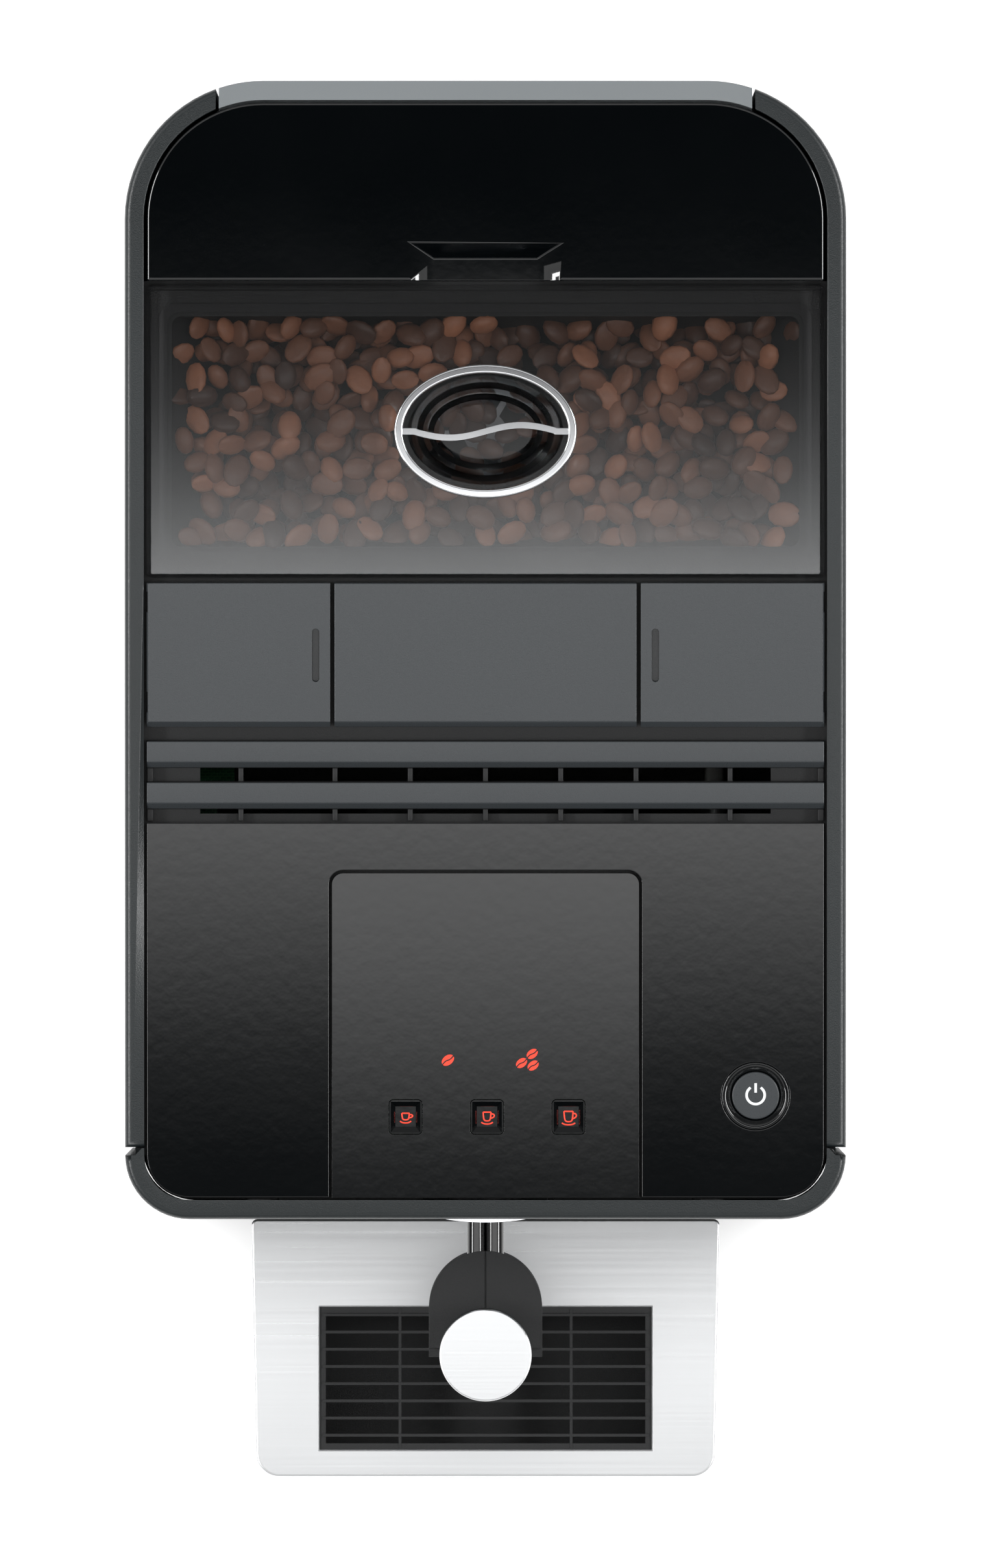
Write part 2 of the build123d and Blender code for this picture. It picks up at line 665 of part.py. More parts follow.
def flap(side):
    """Hinged cover beside the middle cover, with its finger slot at the inner edge."""
    slot_x = side * (flap_half_seam + 5.3)
    slot_y = (flap_front + flap_rear) / 2
    with BuildPart() as cover:
        add(cover_blank(side * (flap_half_seam + seam_width / 2), side * inner_half, flap_thickness))
        outer_edges = cover.edges().filter_by(
            lambda edge: abs(edge.center().X) > inner_half - 0.1 and edge.length > flap_length / 2)
        chamfer(outer_edges.sort_by(Axis.Z)[-1], hinge_ease)
        with BuildSketch(deck.offset(-2.5)):
            with Locations((slot_x, deck_y(slot_y))):
                SlotOverall(17, 2.3, rotation=90)
        extrude(amount=3, mode=Mode.SUBTRACT)
        for ear_front, ear_rear in ear_places:
            with BuildSketch(deck.offset(-flap_thickness - 1)):
                deck_rect(side * (hinge_x - 3.6), side * (inner_half + 1), ear_front - seat_gap,
                          ear_rear + seat_gap)
            extrude(amount=flap_thickness + 1 - hinge_drop + hinge_ear + 0.2, mode=Mode.SUBTRACT)
        flap_rod(side * hinge_x, flap_front + 2.5, flap_rear - 1, hinge_pin + fit_gap, Mode.SUBTRACT)
    return cover.part


left_flap = flap(-1)
left_flap.label = "left_flap"
export_step(left_flap, "parts/left_flap.step")

right_flap = flap(1)
right_flap.label = "right_flap"
export_step(right_flap, "parts/right_flap.step")

with BuildPart() as flap_hinge_pins:
    for ear_side in (-1, 1):
        flap_rod(ear_side * hinge_x, flap_front + 3, flap_rear - 1.5, hinge_pin)
flap_hinge_pins.part.label = "flap_hinge_pins"
export_step(flap_hinge_pins.part, "parts/flap_hinge_pins.step")

with BuildPart() as center_cover:
    add(cover_blank(-flap_half_seam + seam_width / 2, flap_half_seam - seam_width / 2, rim_depth))
    with BuildSketch(deck.offset(-rim_depth)):
        deck_rect(-flap_half_seam + 4, flap_half_seam - 4, flap_front + 5, flap_rear - 3)
    extrude(amount=rim_depth - plate_thickness, mode=Mode.SUBTRACT)
center_cover.part.label = "center_cover"
export_step(center_cover.part, "parts/center_cover.step")


flange_start = body_height - 23.0


def hatch_box(side, floor_z):
    """Open box under a flap, hung by its flange on the top frame."""
    inner_x = side * (hatch_inner + 0.5)
    outer_x = side * (hatch_outer - 0.5)
    with BuildPart() as box:
        block(inner_x, outer_x, hatch_front + 0.5, hatch_rear - 0.5, floor_z, body_height)
        block(inner_x - side * 3, outer_x + side * 2, hatch_front - 2, hatch_rear + 2, flange_start,
              body_height)
        add(under_deck(rim_depth - 1.2, body_height), mode=Mode.INTERSECT)
        with BuildPart(mode=Mode.PRIVATE) as skirt:
            block(-inner_half, inner_half, hatch_front - 9, hatch_rear + 9, cut_low - 10, body_height)
            block(inner_x, outer_x, hatch_front + 0.5, hatch_rear - 0.5, cut_low - 20, body_height,
                  Mode.SUBTRACT)
            add(under_deck(rim_depth, body_height), mode=Mode.INTERSECT)
        add(skirt.part, mode=Mode.SUBTRACT)
        block(inner_x + side * 1.6, outer_x - side * 1.6, hatch_front + 2.1, hatch_rear - 2.1, floor_z + 1.6,
              body_height + 5, Mode.SUBTRACT)
    return box.part


chute_floor = body_height - 61.0
knob_floor = body_height - 39.0
knob_x = (hatch_inner + hatch_outer) / 2
knob_y = (hatch_front + hatch_rear) / 2
with BuildPart() as ground_coffee_chute:
    add(hatch_box(-1, chute_floor))
    rod(-knob_x, knob_y, chute_floor - 8, chute_floor + 2, 11)
    rod(-knob_x, knob_y, chute_floor - 9, chute_floor + 2, 9, Mode.SUBTRACT)
ground_coffee_chute.part.label = "ground_coffee_chute"
export_step(ground_coffee_chute.part, "parts/ground_coffee_chute.step")

with BuildPart() as adjuster_well:
    add(hatch_box(1, knob_floor))
    rod(knob_x, knob_y, knob_floor - 1, knob_floor + 2, 3 + fit_gap, Mode.SUBTRACT)
adjuster_well.part.label = "adjuster_well"
export_step(adjuster_well.part, "parts/adjuster_well.step")

with BuildPart() as grind_knob:
    rod(knob_x, knob_y, knob_floor + 1.9, knob_floor + 12, 11)
    rod(knob_x, knob_y, knob_floor - 14, knob_floor + 1.9, 3)
    for ridge in range(12):
        with Locations((knob_x + 11 * cos(ridge * pi / 6), knob_y + 11 * sin(ridge * pi / 6),
                        knob_floor + 7)):
            Cylinder(1.2, 10.2)
    block(knob_x - 1, knob_x + 1, knob_y - 9, knob_y, knob_floor + 11.2, knob_floor + 13, Mode.SUBTRACT)
grind_knob.part.label = "grind_knob"
export_step(grind_knob.part, "parts/grind_knob.step")

with BuildPart() as vent_grille:
    for slat in range(2):
        slat_rear = vent_rear - slat * (slat_length + slat_gap)
        with BuildSketch(deck.offset(-rim_depth)):
            deck_rect(-inner_half, inner_half, slat_rear - slat_length, slat_rear)
        extrude(amount=rim_depth)
        lip_edge = vent_grille.edges().filter_by(Axis.X).filter_by(
            lambda edge: abs(edge.center().Y - (slat_rear - slat_length)) < 0.3).sort_by(Axis.Z)[-1]
        chamfer(lip_edge, lip)
    with BuildSketch(deck.offset(-rim_depth)):
        for rib_x in (-78, -48, -24, 0, 24, 48, 78):
            deck_rect(rib_x - rib_width / 2, rib_x + rib_width / 2, deck_rear + seat_gap,
                      vent_rear - slat_length + 1)
        for end_x in (-inner_half + 1, inner_half - 1):
            deck_rect(end_x - 1, end_x + 1, deck_rear + seat_gap, vent_rear - slat_length + 1)
    extrude(amount=rim_depth - 3)
vent_grille.part.label = "vent_grille"
export_step(vent_grille.part, "parts/vent_grille.step")

# ---- Control deck and buttons ----
with BuildPart() as control_deck:
    extrude(plan(body_height - 2 * margin, inner_inset, y1=deck_rear), amount=2 * margin)
    add(under_deck(0, rim_depth), mode=Mode.INTERSECT)
    with BuildPart(mode=Mode.PRIVATE) as bay:
        block(-insert_half - insert_groove, insert_half + insert_groove, front_y, insert_rear + insert_groove,
              cut_low, body_height)
        fillet(bay.edges().filter_by(Axis.Z).group_by(Axis.Y)[-1], insert_corner + insert_groove)
    add(bay.part, mode=Mode.SUBTRACT)
    with BuildPart(mode=Mode.PRIVATE) as hollow:
        for deck_side in (-1, 1):
            block(deck_side * (insert_half + 4), deck_side * (inner_half - 4), deck_front + 14, deck_rear - 4,
                  cut_low, body_height)
        rod(power_x, power_y, cut_low, body_height, power_ring_radius + 3, Mode.SUBTRACT)
        add(under_deck(plate_thickness, rim_depth + 1), mode=Mode.INTERSECT)
    add(hollow.part, mode=Mode.SUBTRACT)
    with BuildSketch(deck.offset(-rim_depth - 1)):
        with Locations((power_x, deck_y(power_y))):
            Circle(power_ring_radius + fit_gap)
    extrude(amount=rim_depth + 3, mode=Mode.SUBTRACT)
control_deck.part.label = "control_deck"
export_step(control_deck.part, "parts/control_deck.step")

button_places = [(-button_pitch + 0.5, "left"), (0.5, "middle"), (button_pitch + 0.5, "right")]
with BuildPart() as control_insert:
    block(-insert_half, insert_half, deck_front, insert_rear, cut_low, body_height)
    fillet(control_insert.edges().filter_by(Axis.Z).group_by(Axis.Y)[-1], insert_corner)
    add(under_deck(0, rim_depth), mode=Mode.INTERSECT)
    split(bisect_by=insert_face, keep=Keep.BOTTOM)
    with BuildPart(mode=Mode.PRIVATE) as hollow:
        block(-insert_half + 6, insert_half - 6, deck_front + 7, insert_rear - 8, cut_low, body_height)
        add(under_deck(plate_thickness + 1.2, rim_depth + 1), mode=Mode.INTERSECT)
    add(hollow.part, mode=Mode.SUBTRACT)
    with BuildSketch(insert_face.offset(-rim_depth - 3)):
        for button_x, side_name in button_places:
            with Locations((button_x, button_setback)):
                RectangleRounded(button_width, button_length, 1.5)
    extrude(amount=rim_depth + 6, mode=Mode.SUBTRACT)
control_insert.part.label = "control_insert"
export_step(control_insert.part, "parts/control_insert.step")

cap_depth = 3.8
switch_gap = 1.0
for button_x, side_name in button_places:
    with BuildPart() as coffee_button:
        with BuildSketch(insert_face.offset(-cap_depth)):
            with Locations((button_x, button_setback)):
                RectangleRounded(button_width - 2 * button_gap, button_length - 2 * button_gap,
                                 1.5 - button_gap)
        extrude(amount=cap_depth)
        with BuildSketch(insert_face.offset(0.01)):
            with Locations((button_x, button_setback)):
                Rectangle(button_width - 2 * button_gap - 0.8, button_length - 2 * button_gap - 0.8)
        with BuildSketch(insert_face.offset(-dish_depth)):
            with Locations((button_x, button_setback)):
                Rectangle(dish_floor, dish_floor)
        loft(mode=Mode.SUBTRACT)
        with BuildSketch(insert_face.offset(-rim_depth - 0.6)):
            with Locations((button_x, button_setback)):
                Circle(2)
        extrude(amount=rim_depth + 0.6 - cap_depth)
    coffee_button.part.label = f"coffee_button_{side_name}"
    export_step(coffee_button.part, f"parts/coffee_button_{side_name}.step")

board_low = frame_low + seat_gap + 1.6
with BuildPart() as control_board:
    block(-board_half, board_half, window_front - 4, window_rear + 4, cut_low, body_height)
    add(under_deck(frame_low + seat_gap, board_low), mode=Mode.INTERSECT)
    with BuildSketch(insert_face.offset(-board_low)):
        for button_x, side_name in button_places:
            with Locations((button_x, button_setback)):
                Rectangle(6, 6)
    extrude(amount=board_low - rim_depth - 0.6 - switch_gap)
    with BuildSketch(insert_face.offset(-board_low)):
        with Locations((0, button_setback + 22)):
            Rectangle(30, 12)
    extrude(amount=2.6)
control_board.part.label = "control_board"
export_step(control_board.part, "parts/control_board.step")

power_plane = Plane(origin=(power_x, power_y, deck_z(power_y)), x_dir=(1, 0, 0), z_dir=deck.z_dir)
with BuildPart() as power_ring:
    with BuildSketch(power_plane.offset(-rim_depth + 0.3)):
        Circle(power_ring_radius)
        Circle(power_button_radius + button_gap, mode=Mode.SUBTRACT)
    extrude(amount=rim_depth - 0.4)
    inner_edge = power_ring.faces().sort_by(Axis.Z)[-1].edges().sort_by(SortBy.LENGTH)[0]
    chamfer(inner_edge, 1.8)
power_ring.part.label = "power_ring"
export_step(power_ring.part, "parts/power_ring.step")

with BuildPart() as power_button:
    with BuildSketch(power_plane.offset(-5)):
        Circle(power_button_radius)
    extrude(amount=3.4)
    fillet(power_button.faces().sort_by(Axis.Z)[-1].edges(), 0.5)
    with BuildSketch(power_plane.offset(-rim_depth - 0.6)):
        Circle(3)
    extrude(amount=rim_depth + 0.6 - 5)
power_button.part.label = "power_button"
export_step(power_button.part, "parts/power_button.step")

with BuildPart() as power_switch:
    with BuildSketch(power_plane.offset(-frame_low - 9)):
        Rectangle(17, 17)
    extrude(amount=9 - seat_gap)
    with BuildSketch(power_plane.offset(-frame_low - 1)):
        Circle(4)
    extrude(amount=frame_low + 1 - rim_depth - 0.6 - power_travel - seat_gap)
power_switch.part.label = "power_switch"
export_step(power_switch.part, "parts/power_switch.step")

# ---- Spout ----
bracket_radius = spout_width / 2
bracket_y = front_y - spout_axis_out
bracket_front = front_y - spout_front_out
cylinder_y = bracket_front + 0.7
bracket_low = nozzle_rest_z + 6.0
bracket_top = bracket_low + bracket_height
shell_low = bracket_low + 6.0
core_radius = cylinder_radius - 1.5
outlet_spread = 8.0
inner_face_y = front_y + wall

with BuildPart() as rail_plate:
    with BuildSketch(Plane.XY.offset(rail_low)):
        with BuildLine():
            ThreePointArc((-rail_half, front_y), (0, front_y - rail_bulge), (rail_half, front_y))
            Line((rail_half, front_y), (-rail_half, front_y))
        make_face()
    extrude(amount=rail_high - rail_low)
    block(-slot_half, slot_half, front_y - margin, front_y + 1, slot_low, slot_high, Mode.SUBTRACT)
rail_plate.part.label = "rail_plate"
export_step(rail_plate.part, "parts/rail_plate.step")

with BuildPart() as spout_guides:
    for guide_x in (-guide_half, guide_half):
        rod(guide_x, inner_face_y + 8, slot_low - 15, slot_high + 15, guide_radius)
spout_guides.part.label = "spout_guides"
export_step(spout_guides.part, "parts/spout_guides.step")

lobe = neck_width / 4
with BuildPart() as spout_carriage:
    block(-neck_width / 2, neck_width / 2, bracket_y, inner_face_y + 3, neck_low, neck_high - lobe)
    for lobe_x in (-lobe, lobe):
        rod_y(lobe_x, bracket_y, inner_face_y + 3, neck_high - lobe, lobe)
    block(-guide_half - 6, guide_half + 6, inner_face_y + 2, inner_face_y + 13, neck_low, neck_high)
    rod(0, bracket_y, neck_low - 1, neck_high + 1, bracket_radius, Mode.SUBTRACT)
    for guide_x in (-guide_half, guide_half):
        rod(guide_x, inner_face_y + 8, neck_low - 1, neck_high + 1, guide_radius + fit_gap, Mode.SUBTRACT)
spout_carriage.part.label = "spout_carriage"
export_step(spout_carriage.part, "parts/spout_carriage.step")

with BuildPart() as spout_bracket:
    rod(0, bracket_y, bracket_low, bracket_top, bracket_radius)
    block(-bracket_radius, bracket_radius, bracket_front, bracket_y, bracket_low, bracket_top - 3)
    block(-bracket_radius, bracket_radius, bracket_front + 3, bracket_y, bracket_top - 4, bracket_top)
    block(-0.3, 0.3, bracket_front - 1, bracket_y + bracket_radius, bracket_top - 0.5, bracket_top + 1,
          Mode.SUBTRACT)
    rod(0, cylinder_y, shell_low, bracket_top + 1, cylinder_radius + 0.1, Mode.SUBTRACT)
    rod(0, cylinder_y, bracket_low, bracket_top - 8, core_radius)
    for outlet_side in (-outlet_spread, outlet_spread):
        rod(outlet_side, cylinder_y, nozzle_rest_z, bracket_low + 2, 3.6)
        rod(outlet_side, cylinder_y, nozzle_rest_z - 1, bracket_low + 1, 2.4, Mode.SUBTRACT)
spout_bracket.part.label = "spout_bracket"
export_step(spout_bracket.part, "parts/spout_bracket.step")

cylinder_top = shell_low + cylinder_height
with BuildPart() as spout_cylinder:
    rod(0, cylinder_y, shell_low + 0.1, cylinder_top, cylinder_radius)
    fillet(spout_cylinder.faces().sort_by(Axis.Z)[-1].edges(), 0.5)
    rod(0, cylinder_y, shell_low - 1, bracket_top - 7.9, core_radius + 0.05, Mode.SUBTRACT)
    rod(0, cylinder_y, bracket_top - 8, cylinder_top - 2, core_radius - 2, Mode.SUBTRACT)
spout_cylinder.part.label = "spout_cylinder"
export_step(spout_cylinder.part, "parts/spout_cylinder.step")

# ---- Drip tray and cup platform ----
platform_low = platform_top - platform_thickness
grille_front = tray_front_y + grille_front_setback
grille_rear = grille_front + grille_length
tray_top = platform_low - seat_gap


def platform_outline(inset):
    """Plan outline of the cup platform, slightly narrower in front."""
    back = front_y - platform_gap - inset
    front = tray_front_y + inset
    with BuildSketch() as outline:
        with BuildLine():
            Polyline(
                (-platform_rear_half + inset, back),
                (platform_rear_half - inset, back),
                (platform_front_half - inset, front),
                (-platform_front_half + inset, front),
                close=True,
            )
        make_face()
        fillet(outline.vertices().group_by(Axis.Y)[0], platform_corner - inset)
        fillet(outline.vertices().group_by(Axis.Y)[-1], 2)
    return outline.sketch


def platform_plan(z, inset):
    """The same outline at height z."""
    with BuildSketch(Plane.XY.offset(z)) as area:
        add(platform_outline(inset))
    return area.sketch


with BuildPart() as cup_platform:
    extrude(platform_plan(platform_low, 0), amount=platform_thickness)
    fillet(cup_platform.faces().sort_by(Axis.Z)[-1].edges(), 0.8)
    block(-grille_half, grille_half, grille_front, grille_rear, platform_top - 2.8, platform_top + 1,
          Mode.SUBTRACT)
    block(-grille_half + 2.4, grille_half - 2.4, grille_front + 2.4, grille_rear - 2.4, platform_low - 1,
          platform_top,
          Mode.SUBTRACT)
cup_platform.part.label = "cup_platform"
export_step(cup_platform.part, "parts/cup_platform.step")

blade_pitch = (grille_length - 2 * 2.95 - 2.1) / (blade_count - 1)
with BuildPart() as drip_grille:
    grille_edge = grille_half - seat_gap
    block(-grille_edge, grille_edge, grille_front + seat_gap, grille_rear - seat_gap, platform_top - 2.7,
          platform_top - 1)
    block(-grille_edge + 2.1, grille_edge - 2.1, grille_front + 2.4, grille_rear - 2.4, platform_low - 1,
          platform_top,
          Mode.SUBTRACT)
    for blade in range(blade_count):
        blade_y = grille_rear - 2.95 - blade * blade_pitch
        block(-grille_edge + 2.4, grille_edge - 2.4, blade_y - blade_width / 2, blade_y + blade_width / 2,
              platform_top - blade_depth, platform_top - 0.6)
        block(-grille_edge + 1, grille_edge - 1, blade_y - blade_width / 2, blade_y + blade_width / 2,
              platform_top - 2.7, platform_top - 0.6)
    for rib_x in (-cross_rib_x, cross_rib_x):
        block(rib_x - blade_width / 2, rib_x + blade_width / 2, grille_front + 2.5, grille_rear - 2.5,
              platform_top - blade_depth, platform_top - 0.8)
        block(rib_x - blade_width / 2, rib_x + blade_width / 2, grille_front + 1, grille_rear - 1,
              platform_top - 2.7, platform_top - 0.8)
drip_grille.part.label = "drip_grille"
export_step(drip_grille.part, "parts/drip_grille.step")

tray_inner_floor = pan_top + seat_gap
with BuildPart() as drip_tray:
    extrude(platform_plan(tray_floor_z, 0.8), amount=tray_top - tray_floor_z)
    block(-tray_inner_half, tray_inner_half, front_y - 6, tray_rear, tray_inner_floor, tray_top)
    extrude(platform_plan(tray_floor_z + tray_wall, 0.8 + tray_wall), amount=tray_top, mode=Mode.SUBTRACT)
    block(-tray_inner_half + tray_wall, tray_inner_half - tray_wall, front_y + tray_wall,
          tray_rear - tray_wall,
          tray_inner_floor + tray_wall, tray_top + 1, Mode.SUBTRACT)
drip_tray.part.label = "drip_tray"
export_step(drip_tray.part, "parts/drip_tray.step")

box_half = tray_inner_half - tray_wall - seat_gap
box_rear = tray_rear - tray_wall - seat_gap
box_front = front_y + tray_wall + seat_gap
box_low = tray_inner_floor + tray_wall + 0.1
with BuildPart() as grounds_container:
    block(-box_half, box_half, box_front, box_rear, box_low, tray_top)
    block(-box_half + 2, box_half - 2, box_front + 2, box_rear - 2, box_low + 2, tray_top + 1, Mode.SUBTRACT)
grounds_container.part.label = "grounds_container"
export_step(grounds_container.part, "parts/grounds_container.step")

# ---- Grinder ----
grinder_top = throat_low - seat_gap
grinder_low = grinder_top - grinder_height
motor_low = grinder_low - seat_gap - motor_height
burr_z = grinder_low + 10.0

with BuildPart() as grinder_housing:
    rod(0, hopper_y, grinder_low, grinder_top, grinder_radius)
    rod(0, hopper_y, grinder_low + 8, grinder_top + 1, burr_radius + 3, Mode.SUBTRACT)
    rod(0, hopper_y, burr_z + 12, burr_z + 26, burr_radius + 3)
    rod(0, hopper_y, burr_z + 11, burr_z + 27, burr_radius - 7, Mode.SUBTRACT)
    rod(0, hopper_y, grinder_low - 1, grinder_low + 9, shaft_radius + fit_gap, Mode.SUBTRACT)
    for screw_turn in range(4):
        corner_x = (grinder_radius - 4) * cos(pi / 4 + screw_turn * pi / 2)
        corner_y = hopper_y + (grinder_radius - 4) * sin(pi / 4 + screw_turn * pi / 2)
        rod(corner_x, corner_y, grinder_top - 12, grinder_top + 1, 1.6, Mode.SUBTRACT)
grinder_housing.part.label = "grinder_housing"
export_step(grinder_housing.part, "parts/grinder_housing.step")

with BuildPart() as grinder_rotor:
    rod(0, hopper_y, motor_low + 20, burr_z + 2, shaft_radius)
    rod(0, hopper_y, burr_z, burr_z + 5, burr_radius)
    with Locations((0, hopper_y, burr_z + 5 + 12)):
        Cone(burr_radius - 9, 7, 24)
    for flute in range(6):
        with Locations((0, hopper_y, burr_z + 17)):
            with Locations(Location((0, 0, 0), (0, 0, flute * 60))):
                Box(2 * burr_radius - 22, 2, 24)
grinder_rotor.part.label = "grinder_rotor"
export_step(grinder_rotor.part, "parts/grinder_rotor.step")

with BuildPart() as grinder_motor:
    rod(0, hopper_y, motor_low, grinder_low - 0.1, motor_radius)
    rod(0, hopper_y, shelf_top + 4, motor_low, motor_radius - 8)
    block(-32, 32, hopper_y - 32, hopper_y + 32, shelf_top + 0.1, shelf_top + 4)
    rod(0, hopper_y, motor_low + 19, grinder_low + 1, shaft_radius + fit_gap, Mode.SUBTRACT)
grinder_motor.part.label = "grinder_motor"
export_step(grinder_motor.part, "parts/grinder_motor.step")

# ---- Brew unit ----
chamber_low = shelf_top + 22.0
frame_half = chamber_radius + 8.0
brew_top = chamber_low + chamber_height + 66.0
piston_z = chamber_low + 36.0

with BuildPart() as brew_frame:
    block(-frame_half - 4, frame_half + 4, brew_y - 34, brew_y + 34, shelf_top + 0.1, shelf_top + 6)
    for plate_side in (-1, 1):
        block(plate_side * frame_half, plate_side * (frame_half + 4), brew_y - 34, brew_y + 34, shelf_top,
              brew_top)
    block(-frame_half - 4, frame_half + 4, brew_y - 34, brew_y + 34, brew_top, brew_top + 8)
    rod(0, brew_y, brew_top - 1, brew_top + 9, piston_rod + fit_gap, Mode.SUBTRACT)
    block(-22, 22, brew_y - 18, brew_y + 18, shelf_top - 1, shelf_top + 7, Mode.SUBTRACT)
brew_frame.part.label = "brew_frame"
export_step(brew_frame.part, "parts/brew_frame.step")

with BuildPart() as brew_chamber:
    rod(0, brew_y, chamber_low, chamber_low + chamber_height, chamber_radius)
    block(-frame_half + 0.05, frame_half - 0.05, brew_y - 6, brew_y + 6, chamber_low + 20, chamber_low + 32)
    rod(0, brew_y, chamber_low + 6, chamber_low + chamber_height + 1, chamber_bore, Mode.SUBTRACT)
    chamfer(brew_chamber.faces().sort_by(Axis.Z)[-1].edges().sort_by(SortBy.LENGTH)[0], 1.5)
brew_chamber.part.label = "brew_chamber"
export_step(brew_chamber.part, "parts/brew_chamber.step")

with BuildPart() as brew_piston:
    rod(0, brew_y, piston_z, piston_z + 12, chamber_bore - 0.08)
    rod(0, brew_y, piston_z + 12, brew_top + 38, piston_rod)
brew_piston.part.label = "brew_piston"
export_step(brew_piston.part, "parts/brew_piston.step")

# ---- Pump, heater, boards and hoses ----
pump_x = 74.0
pump_z = shelf_top + 28.0
pump_front = 14.0
pump_rear = pump_front + pump_length
heater_front = front_y + 40.0
heater_rear = heater_front + 84.0

with BuildPart() as pump:
    rod_y(pump_x, pump_front, pump_rear, pump_z, pump_radius)
    for nozzle_front, nozzle_rear in ((pump_front - 8, pump_front), (pump_rear, pump_rear + 8)):
        rod_y(pump_x, nozzle_front, nozzle_rear, pump_z, hose_radius + 1)
    for saddle_y in (pump_front + 12, pump_rear - 12):
        block(pump_x - 16, pump_x + 16, saddle_y - 4, saddle_y + 4, shelf_top + 0.1, pump_z)
pump.part.label = "pump"
export_step(pump.part, "parts/pump.step")

with BuildPart() as thermoblock:
    block(pump_x - 24, pump_x + 24, heater_front, heater_rear, shelf_top + 0.1, shelf_top + 40)
    for fin in range(7):
        fin_y = heater_front + 10 + fin * 11
        block(pump_x - 25, pump_x - 21, fin_y, fin_y + 5, shelf_top - 1, shelf_top + 41, Mode.SUBTRACT)
        block(pump_x + 21, pump_x + 25, fin_y, fin_y + 5, shelf_top - 1, shelf_top + 41, Mode.SUBTRACT)
    rod_y(pump_x, heater_rear, heater_rear + 8, pump_z, hose_radius + 1)
thermoblock.part.label = "thermoblock"
export_step(thermoblock.part, "parts/thermoblock.step")

with BuildPart() as power_board:
    board_x = -body_width / 2 + wall + 9
    block(board_x, board_x + 1.6, -60, 60, shelf_top + 14, shelf_top + 124)
    for post_y in (-54, 54):
        for post_z in (shelf_top + 20, shelf_top + 118):
            rod_x(-body_width / 2 + wall + seat_gap, board_x, post_y, post_z, 3.5)
    block(board_x + 1.6, board_x + 30, -50, -14, shelf_top + 70, shelf_top + 108)
    for cap_y in (0, 16, 32):
        rod_x(board_x + 1.6, board_x + 22, cap_y, shelf_top + 90, 6)
    for relay_y in (-44, -20, 4, 28):
        block(board_x + 1.6, board_x + 16, relay_y, relay_y + 18, shelf_top + 26, shelf_top + 44)
power_board.part.label = "power_board"
export_step(power_board.part, "parts/power_board.step")


def hose(points):
    """Round hose through straight runs joined by tangent arcs as large as the runs allow."""
    route = [Vector(*point) for point in points]
    radii = []
    for before, corner, after in zip(route, route[1:], route[2:]):
        turn = radians((corner - before).get_angle(after - corner))
        shorter = min((corner - before).length, (after - corner).length)
        radii.append(0.45 * shorter / tan(turn / 2))
    print("hose radii", [round(radius, 1) for radius in radii])
    with BuildPart() as tube:
        with BuildLine() as path:
            FilletPolyline(*route, radius=radii)
        start = path.line @ 0
        with BuildSketch(Plane(origin=start, z_dir=path.line % 0)):
            Circle(hose_radius)
        sweep()
    run_length = sum(edge.length for edge in path.edges())
    print("hose volume over section times length", tube.part.volume / (pi * hose_radius**2 * run_length))
    return tube.part


socket_low = cradle_top - 16.0
tank_hose = hose([
    (outlet_x, outlet_y, socket_low + 2),
    (outlet_x, outlet_y, socket_low - 52),
    (outlet_x + 12, outlet_y - 34, pump_z + 8),
    (pump_x - 4, pump_rear + 34, pump_z + 1),
    (pump_x, pump_rear + 8.1, pump_z),
])
tank_hose.label = "tank_hose"
export_step(tank_hose, "parts/tank_hose.step")

with BuildPart() as pressure_hose:
    rod_y(pump_x, heater_rear + 8.1, pump_front - 8.1, pump_z, hose_radius)
pressure_hose.part.label = "pressure_hose"
export_step(pressure_hose.part, "parts/pressure_hose.step")
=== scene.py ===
import json
from math import cos, pi, radians, sin

import bmesh
import bpy
from mathutils import Euler, Matrix, Vector
from mathutils.bvhtree import BVHTree
from mathutils.noise import random, random_vector, seed_set


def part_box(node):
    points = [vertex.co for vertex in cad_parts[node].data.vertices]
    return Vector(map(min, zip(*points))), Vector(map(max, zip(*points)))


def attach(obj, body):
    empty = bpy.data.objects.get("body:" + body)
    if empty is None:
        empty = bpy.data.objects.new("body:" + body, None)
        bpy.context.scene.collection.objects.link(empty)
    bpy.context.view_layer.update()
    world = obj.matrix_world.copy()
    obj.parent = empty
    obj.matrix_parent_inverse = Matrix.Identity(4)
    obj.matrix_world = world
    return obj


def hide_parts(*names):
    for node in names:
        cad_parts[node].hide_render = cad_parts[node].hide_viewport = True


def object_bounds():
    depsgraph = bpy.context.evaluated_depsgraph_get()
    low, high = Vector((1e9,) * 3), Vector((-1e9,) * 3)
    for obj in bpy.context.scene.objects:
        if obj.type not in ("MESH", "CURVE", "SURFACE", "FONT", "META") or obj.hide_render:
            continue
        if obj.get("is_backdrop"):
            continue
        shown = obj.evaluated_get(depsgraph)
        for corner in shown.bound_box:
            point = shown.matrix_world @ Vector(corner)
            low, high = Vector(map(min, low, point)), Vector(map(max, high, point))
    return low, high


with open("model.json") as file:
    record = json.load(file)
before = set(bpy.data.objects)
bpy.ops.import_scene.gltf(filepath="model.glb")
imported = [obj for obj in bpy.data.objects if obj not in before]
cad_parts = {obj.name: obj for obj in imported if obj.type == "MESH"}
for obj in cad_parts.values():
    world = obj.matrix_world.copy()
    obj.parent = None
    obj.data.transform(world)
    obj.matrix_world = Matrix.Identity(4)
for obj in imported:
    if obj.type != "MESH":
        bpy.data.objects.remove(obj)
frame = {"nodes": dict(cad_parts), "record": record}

print("stage: frame loaded")
